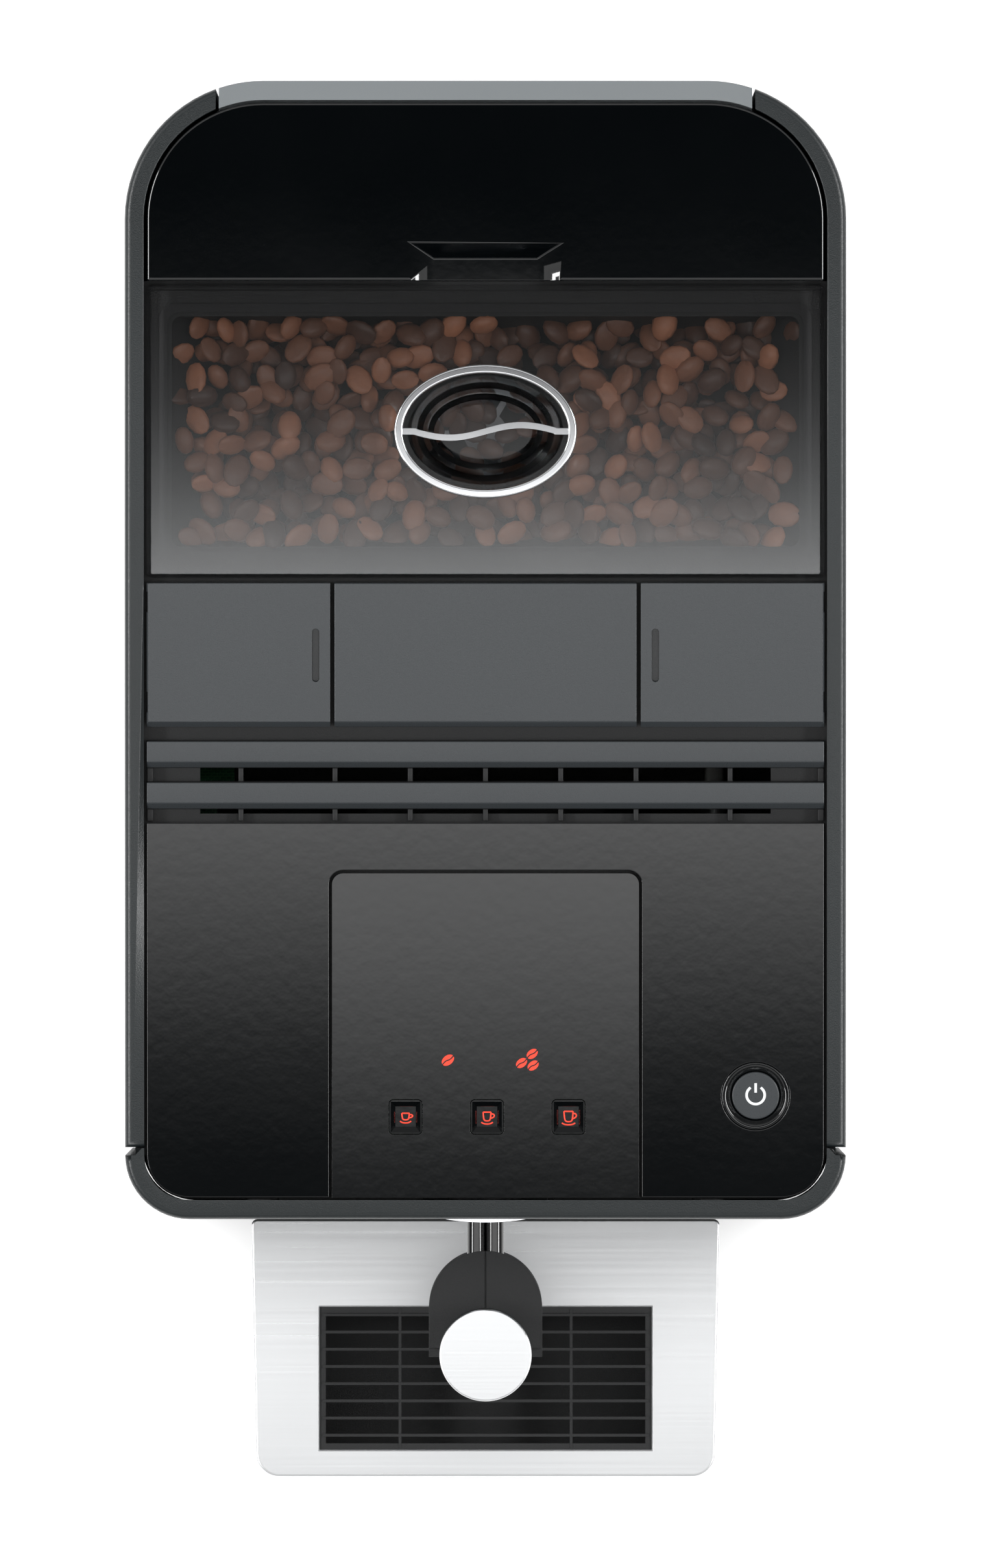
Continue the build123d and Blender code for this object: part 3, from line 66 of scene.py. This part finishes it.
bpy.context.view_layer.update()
nodes = frame["nodes"]
bodyOf = {node: body for body, names in frame["record"]["behaviour"]["bodies"].items() for node in names}
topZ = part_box("bean_lid")[1][2]
seed_set(11)


# Shaders
class Value:
    # a node's output that can be used in plain arithmetic
    def __init__(self, shader, socket):
        self.shader = shader
        self.socket = socket

    def maths(self, operation, *others):
        return self.shader.node("Math", {"operation": operation}, dict(enumerate((self, *others))))

    def __add__(self, other):
        return self.maths("ADD", other)

    def __mul__(self, other):
        return self.maths("MULTIPLY", other)

    def __truediv__(self, other):
        return self.maths("DIVIDE", other)

    __radd__ = __add__
    __rmul__ = __mul__


class Shader:
    def __init__(self, name, **constants):
        self.material = bpy.data.materials.new(name)
        self.material.use_nodes = True
        self.tree = self.material.node_tree
        self.tree.nodes.clear()
        output = self.tree.nodes.new("ShaderNodeOutputMaterial")
        self.principled = self.tree.nodes.new("ShaderNodeBsdfPrincipled")
        self.tree.links.new(self.principled.outputs[0], output.inputs[0])
        self.output = output
        self.set(**constants)

    def node(self, kind, settings=None, inputs=None, output=0):
        made = self.tree.nodes.new("ShaderNode" + kind)
        for key, value in (settings or {}).items():
            if key == "stops":
                ramp = made.color_ramp.elements
                while len(ramp) < len(value):
                    ramp.new(0.5)
                for stop, (place, colour) in zip(ramp, value):
                    stop.position = place
                    stop.color = colour if len(colour) == 4 else (*colour, 1)
            else:
                setattr(made, key, value)
        for key, value in (inputs or {}).items():
            if isinstance(value, Value):
                self.tree.links.new(value.socket, made.inputs[key])
            else:
                made.inputs[key].default_value = value
        return Value(self, made.outputs[output])

    def set(self, **values):
        # spaces in socket names are written as underscores
        for name, value in values.items():
            socket = self.principled.inputs[name.replace("_", " ")]
            if isinstance(value, Value):
                self.tree.links.new(value.socket, socket)
            else:
                socket.default_value = value
        return self

    def place(self, stretch=(1, 1, 1)):
        here = self.node("TexCoord", output="Object")
        return self.node("Mapping", {"vector_type": "POINT"}, {"Vector": here, "Scale": stretch})

    def noise(self, scale, detail=3, stretch=(1, 1, 1)):
        return self.node("TexNoise", inputs={"Vector": self.place(stretch), "Scale": scale, "Detail": detail})

    def ramp(self, factor, low, high):
        return self.node("ValToRGB", {"stops": [low, high]}, {"Fac": factor})

    def mix(self, factor, first, second):
        grow = [colour if isinstance(colour, Value) else (*colour, 1) for colour in (first, second)]
        return self.node("Mix", {"data_type": "RGBA"}, {0: factor, 6: grow[0], 7: grow[1]}, output=2)

    def bump(self, height, distance, strength=1.0):
        return self.node("Bump", inputs={"Height": height, "Distance": distance, "Strength": strength})


def grainedPlastic(name, colour, roughness, grainScale, grainDepth, patch=0.25):
    # moulded plastic with a fine spark-eroded grain and a slow change of tone
    shader = Shader(name, IOR=1.5)
    grain = shader.noise(grainScale, 2)
    tone = shader.noise(9, 4)
    light = tuple(channel * (1 + patch) for channel in colour)
    dark = tuple(channel * (1 - patch) for channel in colour)
    return shader.set(
        Base_Color=shader.mix(tone * 0.7 + grain * 0.3, dark, light),
        Roughness=grain * 0.16 + (roughness - 0.08),
        Normal=shader.bump(grain, grainDepth),
    ).material


def polishedPlastic(name, colour, roughness, wave=0.00002):
    # glossy moulding: faint orange peel, a little dust and handling haze
    shader = Shader(name, IOR=1.5, Coat_Weight=0.35, Coat_Roughness=0.04)
    peel = shader.noise(260, 2)
    haze = shader.noise(22, 5)
    dust = shader.ramp(shader.noise(2600, 1), (0.72, (0, 0, 0)), (0.8, (1, 1, 1)))
    lifted = tuple(channel * 1.5 + 0.002 for channel in colour)
    return shader.set(
        Base_Color=shader.mix(dust * 0.25 + haze * 0.2, colour, lifted),
        Roughness=haze * 0.08 + dust * 0.1 + (roughness - 0.04),
        Normal=shader.bump(peel, wave),
    ).material


def brushedMetal(name, colour, roughness, alongX=True, streak=0.00001):
    shader = Shader(name, Metallic=1.0)
    stretch = (6, 900, 900) if alongX else (900, 900, 6)
    lines = shader.noise(1.0, 4, stretch)
    wear = shader.noise(14, 4)
    dark = tuple(channel * 0.9 for channel in colour)
    return shader.set(
        Base_Color=shader.mix(lines * 0.6 + wear * 0.4, dark, colour),
        Roughness=lines * 0.14 + wear * 0.06 + (roughness - 0.1),
        Normal=shader.bump(lines, streak),
    ).material


def polishedMetal(name, colour, roughness):
    shader = Shader(name, Metallic=1.0)
    smear = shader.noise(60, 4)
    return shader.set(
        Base_Color=shader.mix(smear, tuple(channel * 0.93 for channel in colour), colour),
        Roughness=smear * 0.05 + roughness,
    ).material


def clearPlastic(name, tint, roughness, weight):
    shader = Shader(name, IOR=1.49, Transmission_Weight=weight)
    cloud = shader.noise(30, 4)
    return shader.set(
        Base_Color=shader.mix(cloud, tuple(channel * 0.94 for channel in tint), tint),
        Roughness=cloud * 0.05 + roughness,
        Normal=shader.bump(shader.noise(180, 2), 0.00001),
    ).material


def smokedLid(name, tint, haze):
    # smoked see-through plastic: a tinted film under a full-strength gloss
    shader = Shader(name, Metallic=1.0)
    cloud = shader.noise(24, 4)
    scratch = shader.ramp(shader.noise(1.0, 3, (900, 25, 25)), (0.66, (0, 0, 0)), (0.72, (1, 1, 1)))
    shader.set(
        Base_Color=shader.mix(cloud, (0.86, 0.88, 0.89), (0.96, 0.97, 0.98)),
        Roughness=cloud * 0.02 + scratch * 0.01 + 0.05,
    )
    film = shader.tree.nodes.new("ShaderNodeBsdfTransparent")
    film.inputs[0].default_value = (*tint, 1)
    gloss = shader.node("Fresnel", inputs={"IOR": 1.5})
    blend = shader.node("MixShader", inputs={0: gloss + (cloud * 0.006 + haze)})
    mixer = blend.socket.node
    shader.tree.links.new(film.outputs[0], mixer.inputs[1])
    shader.tree.links.new(shader.principled.outputs[0], mixer.inputs[2])
    shader.tree.links.new(blend.socket, shader.output.inputs[0])
    return shader.material


def roastedBean():
    shader = Shader("roasted beans", IOR=1.45, Coat_Roughness=0.3)
    # the bean attribute holds a random tone per bean together with painted shade that darkens the lower
    # layers
    tone = shader.node("Attribute", {"attribute_name": "beanTone"}, output="Fac")
    skin = shader.noise(420, 4)
    warm = shader.mix(tone, (0.030, 0.013, 0.009), (0.560, 0.230, 0.120))
    return shader.set(
        Base_Color=shader.mix(skin * 0.35, warm, (0.16, 0.080, 0.052)),
        Roughness=skin * 0.25 + 0.3,
        Coat_Weight=skin * 0.3,
        Normal=shader.bump(skin, 0.0002),
    ).material


def glowingPrint(name, colour, strength):
    shader = Shader(name, Emission_Strength=strength)
    fade = shader.noise(900, 2)
    return shader.set(
        Base_Color=shader.mix(fade, tuple(channel * 0.8 for channel in colour), colour),
        Emission_Color=shader.mix(fade, tuple(channel * 0.8 for channel in colour), colour),
        Roughness=fade * 0.1 + 0.35,
    ).material


def lacqueredBoard():
    shader = Shader("circuit board", IOR=1.5)
    traces = shader.node("TexBrick", inputs={"Vector": shader.place(), "Scale": 260.0, "Mortar Size": 0.03,
                                             "Color1": (0.02, 0.13, 0.06, 1), "Color2": (0.03, 0.17, 0.08, 1),
                                             "Mortar": (0.10, 0.28, 0.14, 1)})
    return shader.set(Base_Color=traces, Roughness=shader.noise(300) * 0.15 + 0.3).material


def softRubber(name, colour):
    shader = Shader(name, IOR=1.45)
    bloom = shader.noise(40, 5)
    fine = shader.noise(1800, 2)
    return shader.set(
        Base_Color=shader.mix(bloom, colour, tuple(channel * 1.4 + 0.01 for channel in colour)),
        Roughness=bloom * 0.15 + 0.65,
        Normal=shader.bump(fine, 0.00004),
    ).material


finishes = {
    "textured_black": grainedPlastic("textured casing", (0.009, 0.012, 0.013), 0.36, 2400, 0.00006),
    "gloss_black": polishedPlastic("piano black", (0.0006, 0.0010, 0.0013), 0.07),
    "satin_grey": grainedPlastic("satin covers", (0.030, 0.034, 0.037), 0.3, 3200, 0.00002, 0.12),
    "smoked_clear": smokedLid("smoked lid", (0.90, 0.90, 0.90), 0.002),
    "tank_clear": clearPlastic("tank wall", (0.26, 0.28, 0.29), 0.12, 0.3),
    "satin_steel": brushedMetal("satin steel", (0.80, 0.81, 0.82), 0.3),
    "chrome_trim": polishedMetal("bright chrome", (0.83, 0.84, 0.86), 0.06),
    "inner_black": grainedPlastic("inner black", (0.004, 0.0045, 0.005), 0.6, 1800, 0.00005),
    "rubber_black": softRubber("black rubber", (0.016, 0.016, 0.017)),
    "board_green": lacqueredBoard(),
    "cast_metal": brushedMetal("cast metal", (0.50, 0.50, 0.50), 0.5, streak=0.00003),
    "burr_steel": brushedMetal("ground steel", (0.58, 0.58, 0.60), 0.3, False),
    "silicone_white": softRubber("silicone", (0.6, 0.6, 0.57)),
    "roasted_bean": roastedBean(),
    "screw_zinc": brushedMetal("zinc plate", (0.55, 0.55, 0.52), 0.35),
}
redPrint = glowingPrint("red light print", (0.80, 0.045, 0.02), 0.55)
whitePrint = glowingPrint("white print", (0.75, 0.77, 0.78), 0.25)
slotOf = {part["node"]: part["material_slot"] for part in frame["record"]["subparts"]}
for node, slotName in slotOf.items():
    nodes[node].data.materials.clear()
    nodes[node].data.materials.append(finishes[slotName])
print("stage: finishes made")


# Helpers for pieces
def meshObject(name, shell, material, body):
    mesh = bpy.data.meshes.new(name)
    shell.to_mesh(mesh)
    shell.free()
    mesh.materials.append(material)
    piece = bpy.data.objects.new(name, mesh)
    bpy.context.scene.collection.objects.link(piece)
    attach(piece, body)
    return piece


def softened(node, width, segments, crown):
    # a copy of a CAD piece with its hard edges rounded; crown rounds the outer top edge more
    shell = bmesh.new()
    shell.from_mesh(nodes[node].data)
    bmesh.ops.remove_doubles(shell, verts=shell.verts, dist=2e-6)
    bmesh.ops.dissolve_limit(shell, angle_limit=radians(0.4), verts=shell.verts, edges=shell.edges,
                             use_dissolve_boundaries=False)
    sharp = [edge for edge in shell.edges
             if len(edge.link_faces) == 2 and edge.calc_face_angle() > radians(33)]
    crowned = []
    if crown:
        for edge in sharp:
            up = [face for face in edge.link_faces if face.normal.z > 0.9]
            side = [face for face in edge.link_faces if abs(face.normal.z) < 0.3]
            middle = (edge.verts[0].co + edge.verts[1].co) / 2
            if up and side and side[0].normal.x * middle.x + side[0].normal.y * (middle.y - 0.04) > 0:
                crowned.append(edge)
        plain = [edge for edge in sharp if edge not in set(crowned)]
        bmesh.ops.bevel(shell, geom=crowned, offset=crown, offset_type="OFFSET", segments=5, profile=0.5,
                        affect="EDGES", material=-1, clamp_overlap=False)
        sharp = [edge for edge in plain if edge.is_valid]
    bmesh.ops.bevel(shell, geom=sharp, offset=width, offset_type="OFFSET", segments=segments, profile=0.5,
                    affect="EDGES", material=-1, clamp_overlap=True)
    for face in shell.faces:
        face.smooth = True
    piece = meshObject(node + "_skin", shell, finishes[slotOf[node]], bodyOf[node])
    piece.data.set_sharp_from_angle(angle=radians(38))
    even = piece.modifiers.new("even normals", "WEIGHTED_NORMAL")
    even.keep_sharp = True
    even.weight = 100
    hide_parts(node)
    return piece


# edge width, segments and the wider rounding of the outer top edge
softening = {
    "left_side_panel": (0.0004, 2, 0.0022), "right_side_panel": (0.0004, 2, 0.0022),
    "front_cover": (0.0004, 2, 0.0022), "tank_lid": (0.0004, 2, 0.0), "left_flap": (0.0003, 2, 0.0),
    "right_flap": (0.0003, 2, 0.0), "center_cover": (0.0003, 2, 0.0), "vent_grille": (0.0003, 2, 0.0),
    "control_deck": (0.0003, 2, 0.0), "control_insert": (0.0003, 2, 0.0), "cup_platform": (0.0003, 2, 0.0),
    "drip_tray": (0.0005, 2, 0.0), "spout_bracket": (0.0003, 2, 0.0), "spout_carriage": (0.0003, 2, 0.0),
    "grind_knob": (0.0003, 2, 0.0), "rear_cover": (0.0004, 2, 0.0), "base_pan": (0.0005, 2, 0.0),
    "grounds_container": (0.0005, 2, 0.0), "power_ring": (0.0005, 3, 0.0), "bean_hopper": (0.0004, 2, 0.0),
    "tank_cradle": (0.0004, 2, 0.0), "lid_handle": (0.0012, 4, 0.0),
}
for node, (width, segments, crown) in softening.items():
    softened(node, width, segments, crown)

# painted shade: faces of the louvre deeper than the slot depth below its top get the dark inner finish,
# standing in for the shade in the slots
slotShade = {"slope": radians(5), "depth": 0.0012}
louvre = bpy.data.objects["vent_grille_skin"]
louvre.data.materials.append(finishes["inner_black"])
upright = Vector((0, -sin(slotShade["slope"]), cos(slotShade["slope"])))
louvreTop = max(vert.co @ upright for vert in louvre.data.vertices)
for face in louvre.data.polygons:
    if louvreTop - face.center @ upright > slotShade["depth"]:
        face.material_index = 1
print("stage: mouldings rounded")

# Coffee beans
beans = {"length": 0.0098, "width": 0.0074, "height": 0.0048, "pitch": 0.0076, "layers": 3,
         "crease": 0.0015, "rise": 0.0100, "missing": 0.22}


def beanShape():
    shape = bmesh.new()
    bmesh.ops.create_uvsphere(shape, u_segments=10, v_segments=6, radius=0.5)
    bmesh.ops.rotate(shape, verts=shape.verts, cent=(0, 0, 0), matrix=Matrix.Rotation(pi / 2, 3, "Y"))
    bmesh.ops.scale(shape, vec=(beans["length"], beans["width"], beans["height"]), verts=shape.verts)
    for vert in shape.verts:
        if vert.co.z > 0:
            vert.co.z *= 0.55  # the flat side
            along = vert.co.x / beans["length"]
            across = (vert.co.y - 0.0006 * sin(along * 5)) / beans["width"]
            vert.co.z -= beans["crease"] * max(0, 1 - abs(across) * 9) * (1 - abs(along) * 1.2)
    mesh = bpy.data.meshes.new("bean shape")
    shape.to_mesh(mesh)
    shape.free()
    return mesh


def beanBed():
    # layers of beans that widen with the funnel, clear of the bowl that hangs in their middle
    low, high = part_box("bean_fill")
    sealLow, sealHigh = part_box("lid_seal")
    bowlLow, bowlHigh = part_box("lid_bowl")
    middle = (low + high) / 2
    bed = bmesh.new()
    tone = bed.verts.layers.float.new("beanTone")
    shape = beanShape()
    topHalf = Vector(((sealHigh.x - sealLow.x) / 2 - 0.0045, (sealHigh.y - sealLow.y) / 2 - 0.0045, 0))
    fillHalf = (high - low) / 2
    for layer in range(beans["layers"]):
        share = layer / (beans["layers"] - 1)
        z = high.z - 0.0040 + share * beans["rise"]
        half = fillHalf.lerp(topHalf, share) - Vector((0.0035, 0.0035, 0))
        columns = int(2 * half.x / beans["pitch"])
        rows = int(2 * half.y / (beans["pitch"] * 0.92))
        for column in range(columns + 1):
            for row in range(rows + 1):
                jitter = random_vector() * 0.0021
                x = -half.x + 2 * half.x * (column + 0.5 * (row % 2)) / (columns + 0.5) + jitter.x
                y = -half.y + 2 * half.y * row / rows + jitter.y
                spread = (x / (bowlHigh.x - bowlLow.x)) ** 2 + (y / (bowlHigh.y - bowlLow.y)) ** 2
                if spread < 0.31 and z > bowlLow.z - 0.003:
                    continue
                if layer and random() < beans["missing"]:
                    continue
                flip = pi if random() < 0.5 else 0
                turn = Euler(((random() - 0.5) * 1.3 + flip, (random() - 0.5) * 1.0, random() * 2 * pi))
                size = 0.88 + random() * 0.26
                place = (Matrix.Translation((middle.x + x, middle.y + y, z + jitter.z * 0.5))
                         @ turn.to_matrix().to_4x4() @ Matrix.Scale(size, 4))
                before = len(bed.verts)
                bed.from_mesh(shape)
                bed.verts.ensure_lookup_table()
                fresh = bed.verts[before:]
                bmesh.ops.transform(bed, matrix=place, verts=fresh)
                # painted shade: beans in lower layers are darker, as if shaded by the beans above, on top of
                # a random tone per bean
                shade = random() * (0.2 + 0.8 * share)
                for vert in fresh:
                    vert[tone] = shade
    for face in bed.faces:
        face.smooth = True
    piece = meshObject("coffee_beans", bed, finishes["roasted_bean"], "root")
    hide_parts("bean_fill")


beanBed()
print("stage: beans poured")


# Printed and lit symbols
symbol = {"line": 0.00045, "proud": 0.00004}


def surfacePlace(node, x, y):
    # where a straight drop meets a piece, as a matrix whose Z stands off its surface
    shell = bmesh.new()
    shell.from_mesh(nodes[node].data)
    point, normal, face, drop = BVHTree.FromBMesh(shell).ray_cast(Vector((x, y, 1)), Vector((0, 0, -1)))
    shell.free()
    across = Vector((1, 0, 0))
    upward = normal.cross(across).normalized()
    turn = Matrix((across, upward, normal)).transposed().to_4x4()
    return Matrix.Translation(point + normal * symbol["proud"]) @ turn


def stroke(points, width, smooth=True):
    # a flat printed line, as a mesh in the symbol's own plane
    curve = bpy.data.curves.new("stroke", "CURVE")
    curve.dimensions = "3D"
    spline = curve.splines.new("NURBS" if smooth else "POLY")
    spline.points.add(len(points) - 1)
    for knot, (x, y) in zip(spline.points, points):
        knot.co = (x, y, 0, 1)
    if smooth:
        spline.order_u = 3
        spline.use_endpoint_u = True
    curve.resolution_u = 6
    curve.bevel_depth = width / 2
    curve.bevel_resolution = 2
    curve.use_fill_caps = True
    holder = bpy.data.objects.new("stroke", curve)
    mesh = bpy.data.meshes.new_from_object(holder)
    bpy.data.objects.remove(holder)
    return mesh


def oval(length, width):
    shape = bmesh.new()
    bmesh.ops.create_circle(shape, cap_ends=True, segments=32, radius=0.5)
    bmesh.ops.scale(shape, vec=(length, width, 1), verts=shape.verts)
    mesh = bpy.data.meshes.new("oval")
    shape.to_mesh(mesh)
    shape.free()
    return mesh


def printed(name, marks, place, material, body):
    # marks are (mesh, turn in degrees, x, y); all are flattened onto the surface at place
    shell = bmesh.new()
    for mesh, turn, x, y in marks:
        before = len(shell.verts)
        shell.from_mesh(mesh)
        shell.verts.ensure_lookup_table()
        own = Matrix.Translation((x, y, 0)) @ Matrix.Rotation(radians(turn), 4, "Z")
        bmesh.ops.transform(shell, matrix=own, verts=shell.verts[before:])
    bmesh.ops.scale(shell, vec=(1, 1, 0.15), verts=shell.verts)
    flat = [face for face in shell.faces if len(face.verts) > 8]
    bmesh.ops.transform(shell, matrix=place, verts=shell.verts)
    if flat:
        made = bmesh.ops.extrude_face_region(shell, geom=flat)
        lift = place.to_3x3() @ Vector((0, 0, symbol["proud"]))
        raised = [part for part in made["geom"] if isinstance(part, bmesh.types.BMVert)]
        bmesh.ops.translate(shell, vec=lift, verts=raised)
        bmesh.ops.recalc_face_normals(shell, faces=shell.faces)
    return meshObject(name, shell, material, body)


def cupMarks(width, height):
    # a side view of a cup with its handle, on a saucer
    half = width / 2
    line = symbol["line"]
    cup = [(-half, height / 2), (-half * 0.92, -height * 0.2), (-half * 0.6, -height / 2),
           (half * 0.6, -height / 2), (half * 0.92, -height * 0.2), (half, height / 2)]
    ear = [(half * 0.96, height * 0.3), (half + 0.0010, height * 0.32), (half + 0.0011, -height * 0.1),
           (half * 0.86, -height * 0.22)]
    saucer = [(-half * 1.45, -height / 2 - 0.0004), (-half, -height / 2 - 0.0010),
              (half, -height / 2 - 0.0010), (half * 1.45, -height / 2 - 0.0004)]
    rim = [(-half, height / 2), (half, height / 2)]
    return [(stroke(cup, line), 0, 0, 0), (stroke(ear, line), 0, 0, 0), (stroke(saucer, line), 0, 0, 0),
            (stroke(rim, line, smooth=False), 0, 0, 0)]


cupSizes = {"left": (0.0024, 0.0021), "middle": (0.0025, 0.0028), "right": (0.0029, 0.0033)}
for side, (width, height) in cupSizes.items():
    button = "coffee_button_" + side
    low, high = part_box(button)
    spot = surfacePlace(button, (low.x + high.x) / 2, (low.y + high.y) / 2)
    printed("cup_symbol_" + side, cupMarks(width, height), spot, redPrint, bodyOf[button])

beanSymbol = {"length": 0.0044, "width": 0.0030, "turn": 38}
insertLow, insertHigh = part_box("control_insert")
middleX = (insertLow.x + insertHigh.x) / 2
buttonY = (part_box("coffee_button_middle")[0].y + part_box("coffee_button_middle")[1].y) / 2
symbolSets = {
    "mild": [(-0.0120, 0.0180, 1.0)],
    "strong": [(0.0149, 0.0200, 0.9), (0.0115, 0.0171, 0.9), (0.0152, 0.0163, 0.9)],
}
for strength, places in symbolSets.items():
    for count, (x, y, size) in enumerate(places):
        spot = surfacePlace("control_insert", middleX + x, buttonY + y)
        length = beanSymbol["length"] * size
        width = beanSymbol["width"] * size
        mark = [(oval(length, width), beanSymbol["turn"], 0, 0)]
        printed(f"{strength}_bean_{count}", mark, spot, redPrint, "root")
        wave = [(-length * 0.56, -0.0001), (-length * 0.2, 0.0004), (length * 0.2, -0.0004),
                (length * 0.56, 0.0001)]
        lifted = spot @ Matrix.Translation((0, 0, symbol["proud"] * 1.6))
        printed(f"{strength}_crease_{count}", [(stroke(wave, 0.0004), beanSymbol["turn"], 0, 0)], lifted,
                finishes["gloss_black"], "root")

powerSymbol = {"radius": 0.0029, "line": 0.00085, "gap": 34}
low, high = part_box("power_button")
spot = surfacePlace("power_button", (low.x + high.x) / 2, (low.y + high.y) / 2)
arc = []
for step in range(25):
    angle = radians(90 + powerSymbol["gap"] + step / 24 * (360 - 2 * powerSymbol["gap"]))
    arc.append((powerSymbol["radius"] * cos(angle), powerSymbol["radius"] * sin(angle)))
bar = [(0, 0.0008), (0, 0.0038)]
marks = [(stroke(arc, powerSymbol["line"]), 0, 0, 0),
         (stroke(bar, powerSymbol["line"], smooth=False), 0, 0, 0)]
printed("power_symbol", marks, spot, whitePrint, "power_button")
print("stage: symbols printed")

# Lights, floor and camera
def softbox(name, width, length, place, aim, strength, stops):
    # a glowing card; stops give its brightness along its length
    shell = bmesh.new()
    bmesh.ops.create_grid(shell, x_segments=1, y_segments=1, size=0.5)
    bmesh.ops.scale(shell, vec=(width, length, 1), verts=shell.verts)
    mesh = bpy.data.meshes.new(name)
    shell.to_mesh(mesh)
    shell.free()
    card = bpy.data.objects.new(name, mesh)
    card.location = place
    card.rotation_euler = (Vector(aim) - Vector(place)).to_track_quat("-Z", "Y").to_euler()
    bpy.context.scene.collection.objects.link(card)
    shader = Shader(name)
    glow = shader.tree.nodes.new("ShaderNodeEmission")
    here = shader.node("TexCoord", output="Object")
    along = shader.node("SeparateXYZ", inputs={0: here}, output="Y") / length + 0.5
    fade = shader.node("ValToRGB", {"stops": stops}, {"Fac": along})
    shader.tree.links.new(fade.socket, glow.inputs["Color"])
    glow.inputs["Strength"].default_value = strength
    shader.tree.links.new(glow.outputs[0], shader.output.inputs[0])
    mesh.materials.append(shader.material)
    card.visible_camera = False
    card.visible_shadow = False
    card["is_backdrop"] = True


def grey(value):
    return (value, value, value)


studio = {"cardHeight": 1.0, "cardWidth": 1.2, "cardLength": 1.2}
# brightness of the card above places along the machine, from front to back in metres
cardTones = [
    (-0.34, 0.015), (-0.305, 0.02), (-0.27, 0.08), (-0.25, 0.18), (-0.19, 0.5), (-0.16, 0.6), (-0.11, 0.62),
    (0.0, 0.85), (0.06, 1.0), (0.08, 0.6), (0.105, 0.27), (0.13, 0.09), (0.16, 0.02), (0.2, 0.003),
]
cardStops = [(place / studio["cardLength"] + 0.5, grey(tone)) for place, tone in cardTones]
softbox("overhead card", studio["cardWidth"], studio["cardLength"], (0, 0, topZ + studio["cardHeight"]),
        (0, 0, 0), 3.4, cardStops)
strips = {"width": 0.22, "length": 1.7, "power": 26, "x": 1.5, "z": 1.45}
for side in (-1, 1):
    lamp = bpy.data.lights.new("side strip", "AREA")
    lamp.shape = "RECTANGLE"
    lamp.energy = strips["power"]
    lamp.size = strips["width"]
    lamp.size_y = strips["length"]
    holder = bpy.data.objects.new("side strip", lamp)
    holder.location = (side * strips["x"], 0, strips["z"])
    holder.rotation_euler = (0, side * radians(52), 0)
    holder.visible_camera = False
    bpy.context.scene.collection.objects.link(holder)

world = bpy.data.worlds.new("studio air")
world.use_nodes = True
air = world.node_tree
sky = air.nodes.new("ShaderNodeValToRGB")
split = air.nodes.new("ShaderNodeSeparateXYZ")
aim = air.nodes.new("ShaderNodeTexCoord")
air.links.new(aim.outputs["Generated"], split.inputs[0])
air.links.new(split.outputs["Z"], sky.inputs[0])
air.links.new(sky.outputs[0], air.nodes["Background"].inputs[0])
skyTones = [(0.0, 0.05), (0.15, 0.12), (0.35, 0.5), (0.6, 0.78), (0.85, 1.0)]
while len(sky.color_ramp.elements) < len(skyTones):
    sky.color_ramp.elements.new(0.5)
for stop, (place, tone) in zip(sky.color_ramp.elements, skyTones):
    stop.position = place
    stop.color = (*grey(tone), 1)
air.nodes["Background"].inputs[1].default_value = 1.0
bpy.context.scene.world = world

floorShell = bmesh.new()
bmesh.ops.create_grid(floorShell, x_segments=1, y_segments=1, size=6)
floorMesh = bpy.data.meshes.new("floor")
floorShell.to_mesh(floorMesh)
floorShell.free()
floorShader = Shader("pale floor", Roughness=0.9, Emission_Strength=0.38)
floorTone = floorShader.noise(2, 3)
floorShader.set(Base_Color=floorShader.mix(floorTone, (0.88, 0.88, 0.88), (0.92, 0.92, 0.92)),
                Emission_Color=floorShader.mix(floorTone, (0.98, 0.98, 0.98), (1, 1, 1)))
floorMesh.materials.append(floorShader.material)
floor = bpy.data.objects.new("floor", floorMesh)
bpy.context.scene.collection.objects.link(floor)
floor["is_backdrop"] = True

view = {"lens": 1000, "frameHeight": 0.4996, "x": 0.0016, "y": 0.0004}
lens = bpy.data.cameras.new("camera")
lens.lens = view["lens"]
lens.sensor_width = 36
distance = view["lens"] / lens.sensor_width * view["frameHeight"]
lens.clip_end = distance * 4
camera = bpy.data.objects.new("camera", lens)
camera.location = (view["x"], view["y"], topZ + distance)
bpy.context.scene.collection.objects.link(camera)
bpy.context.scene.camera = camera
bpy.context.scene.view_settings.view_transform = "Standard"
print("stage: studio set")

low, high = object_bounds()
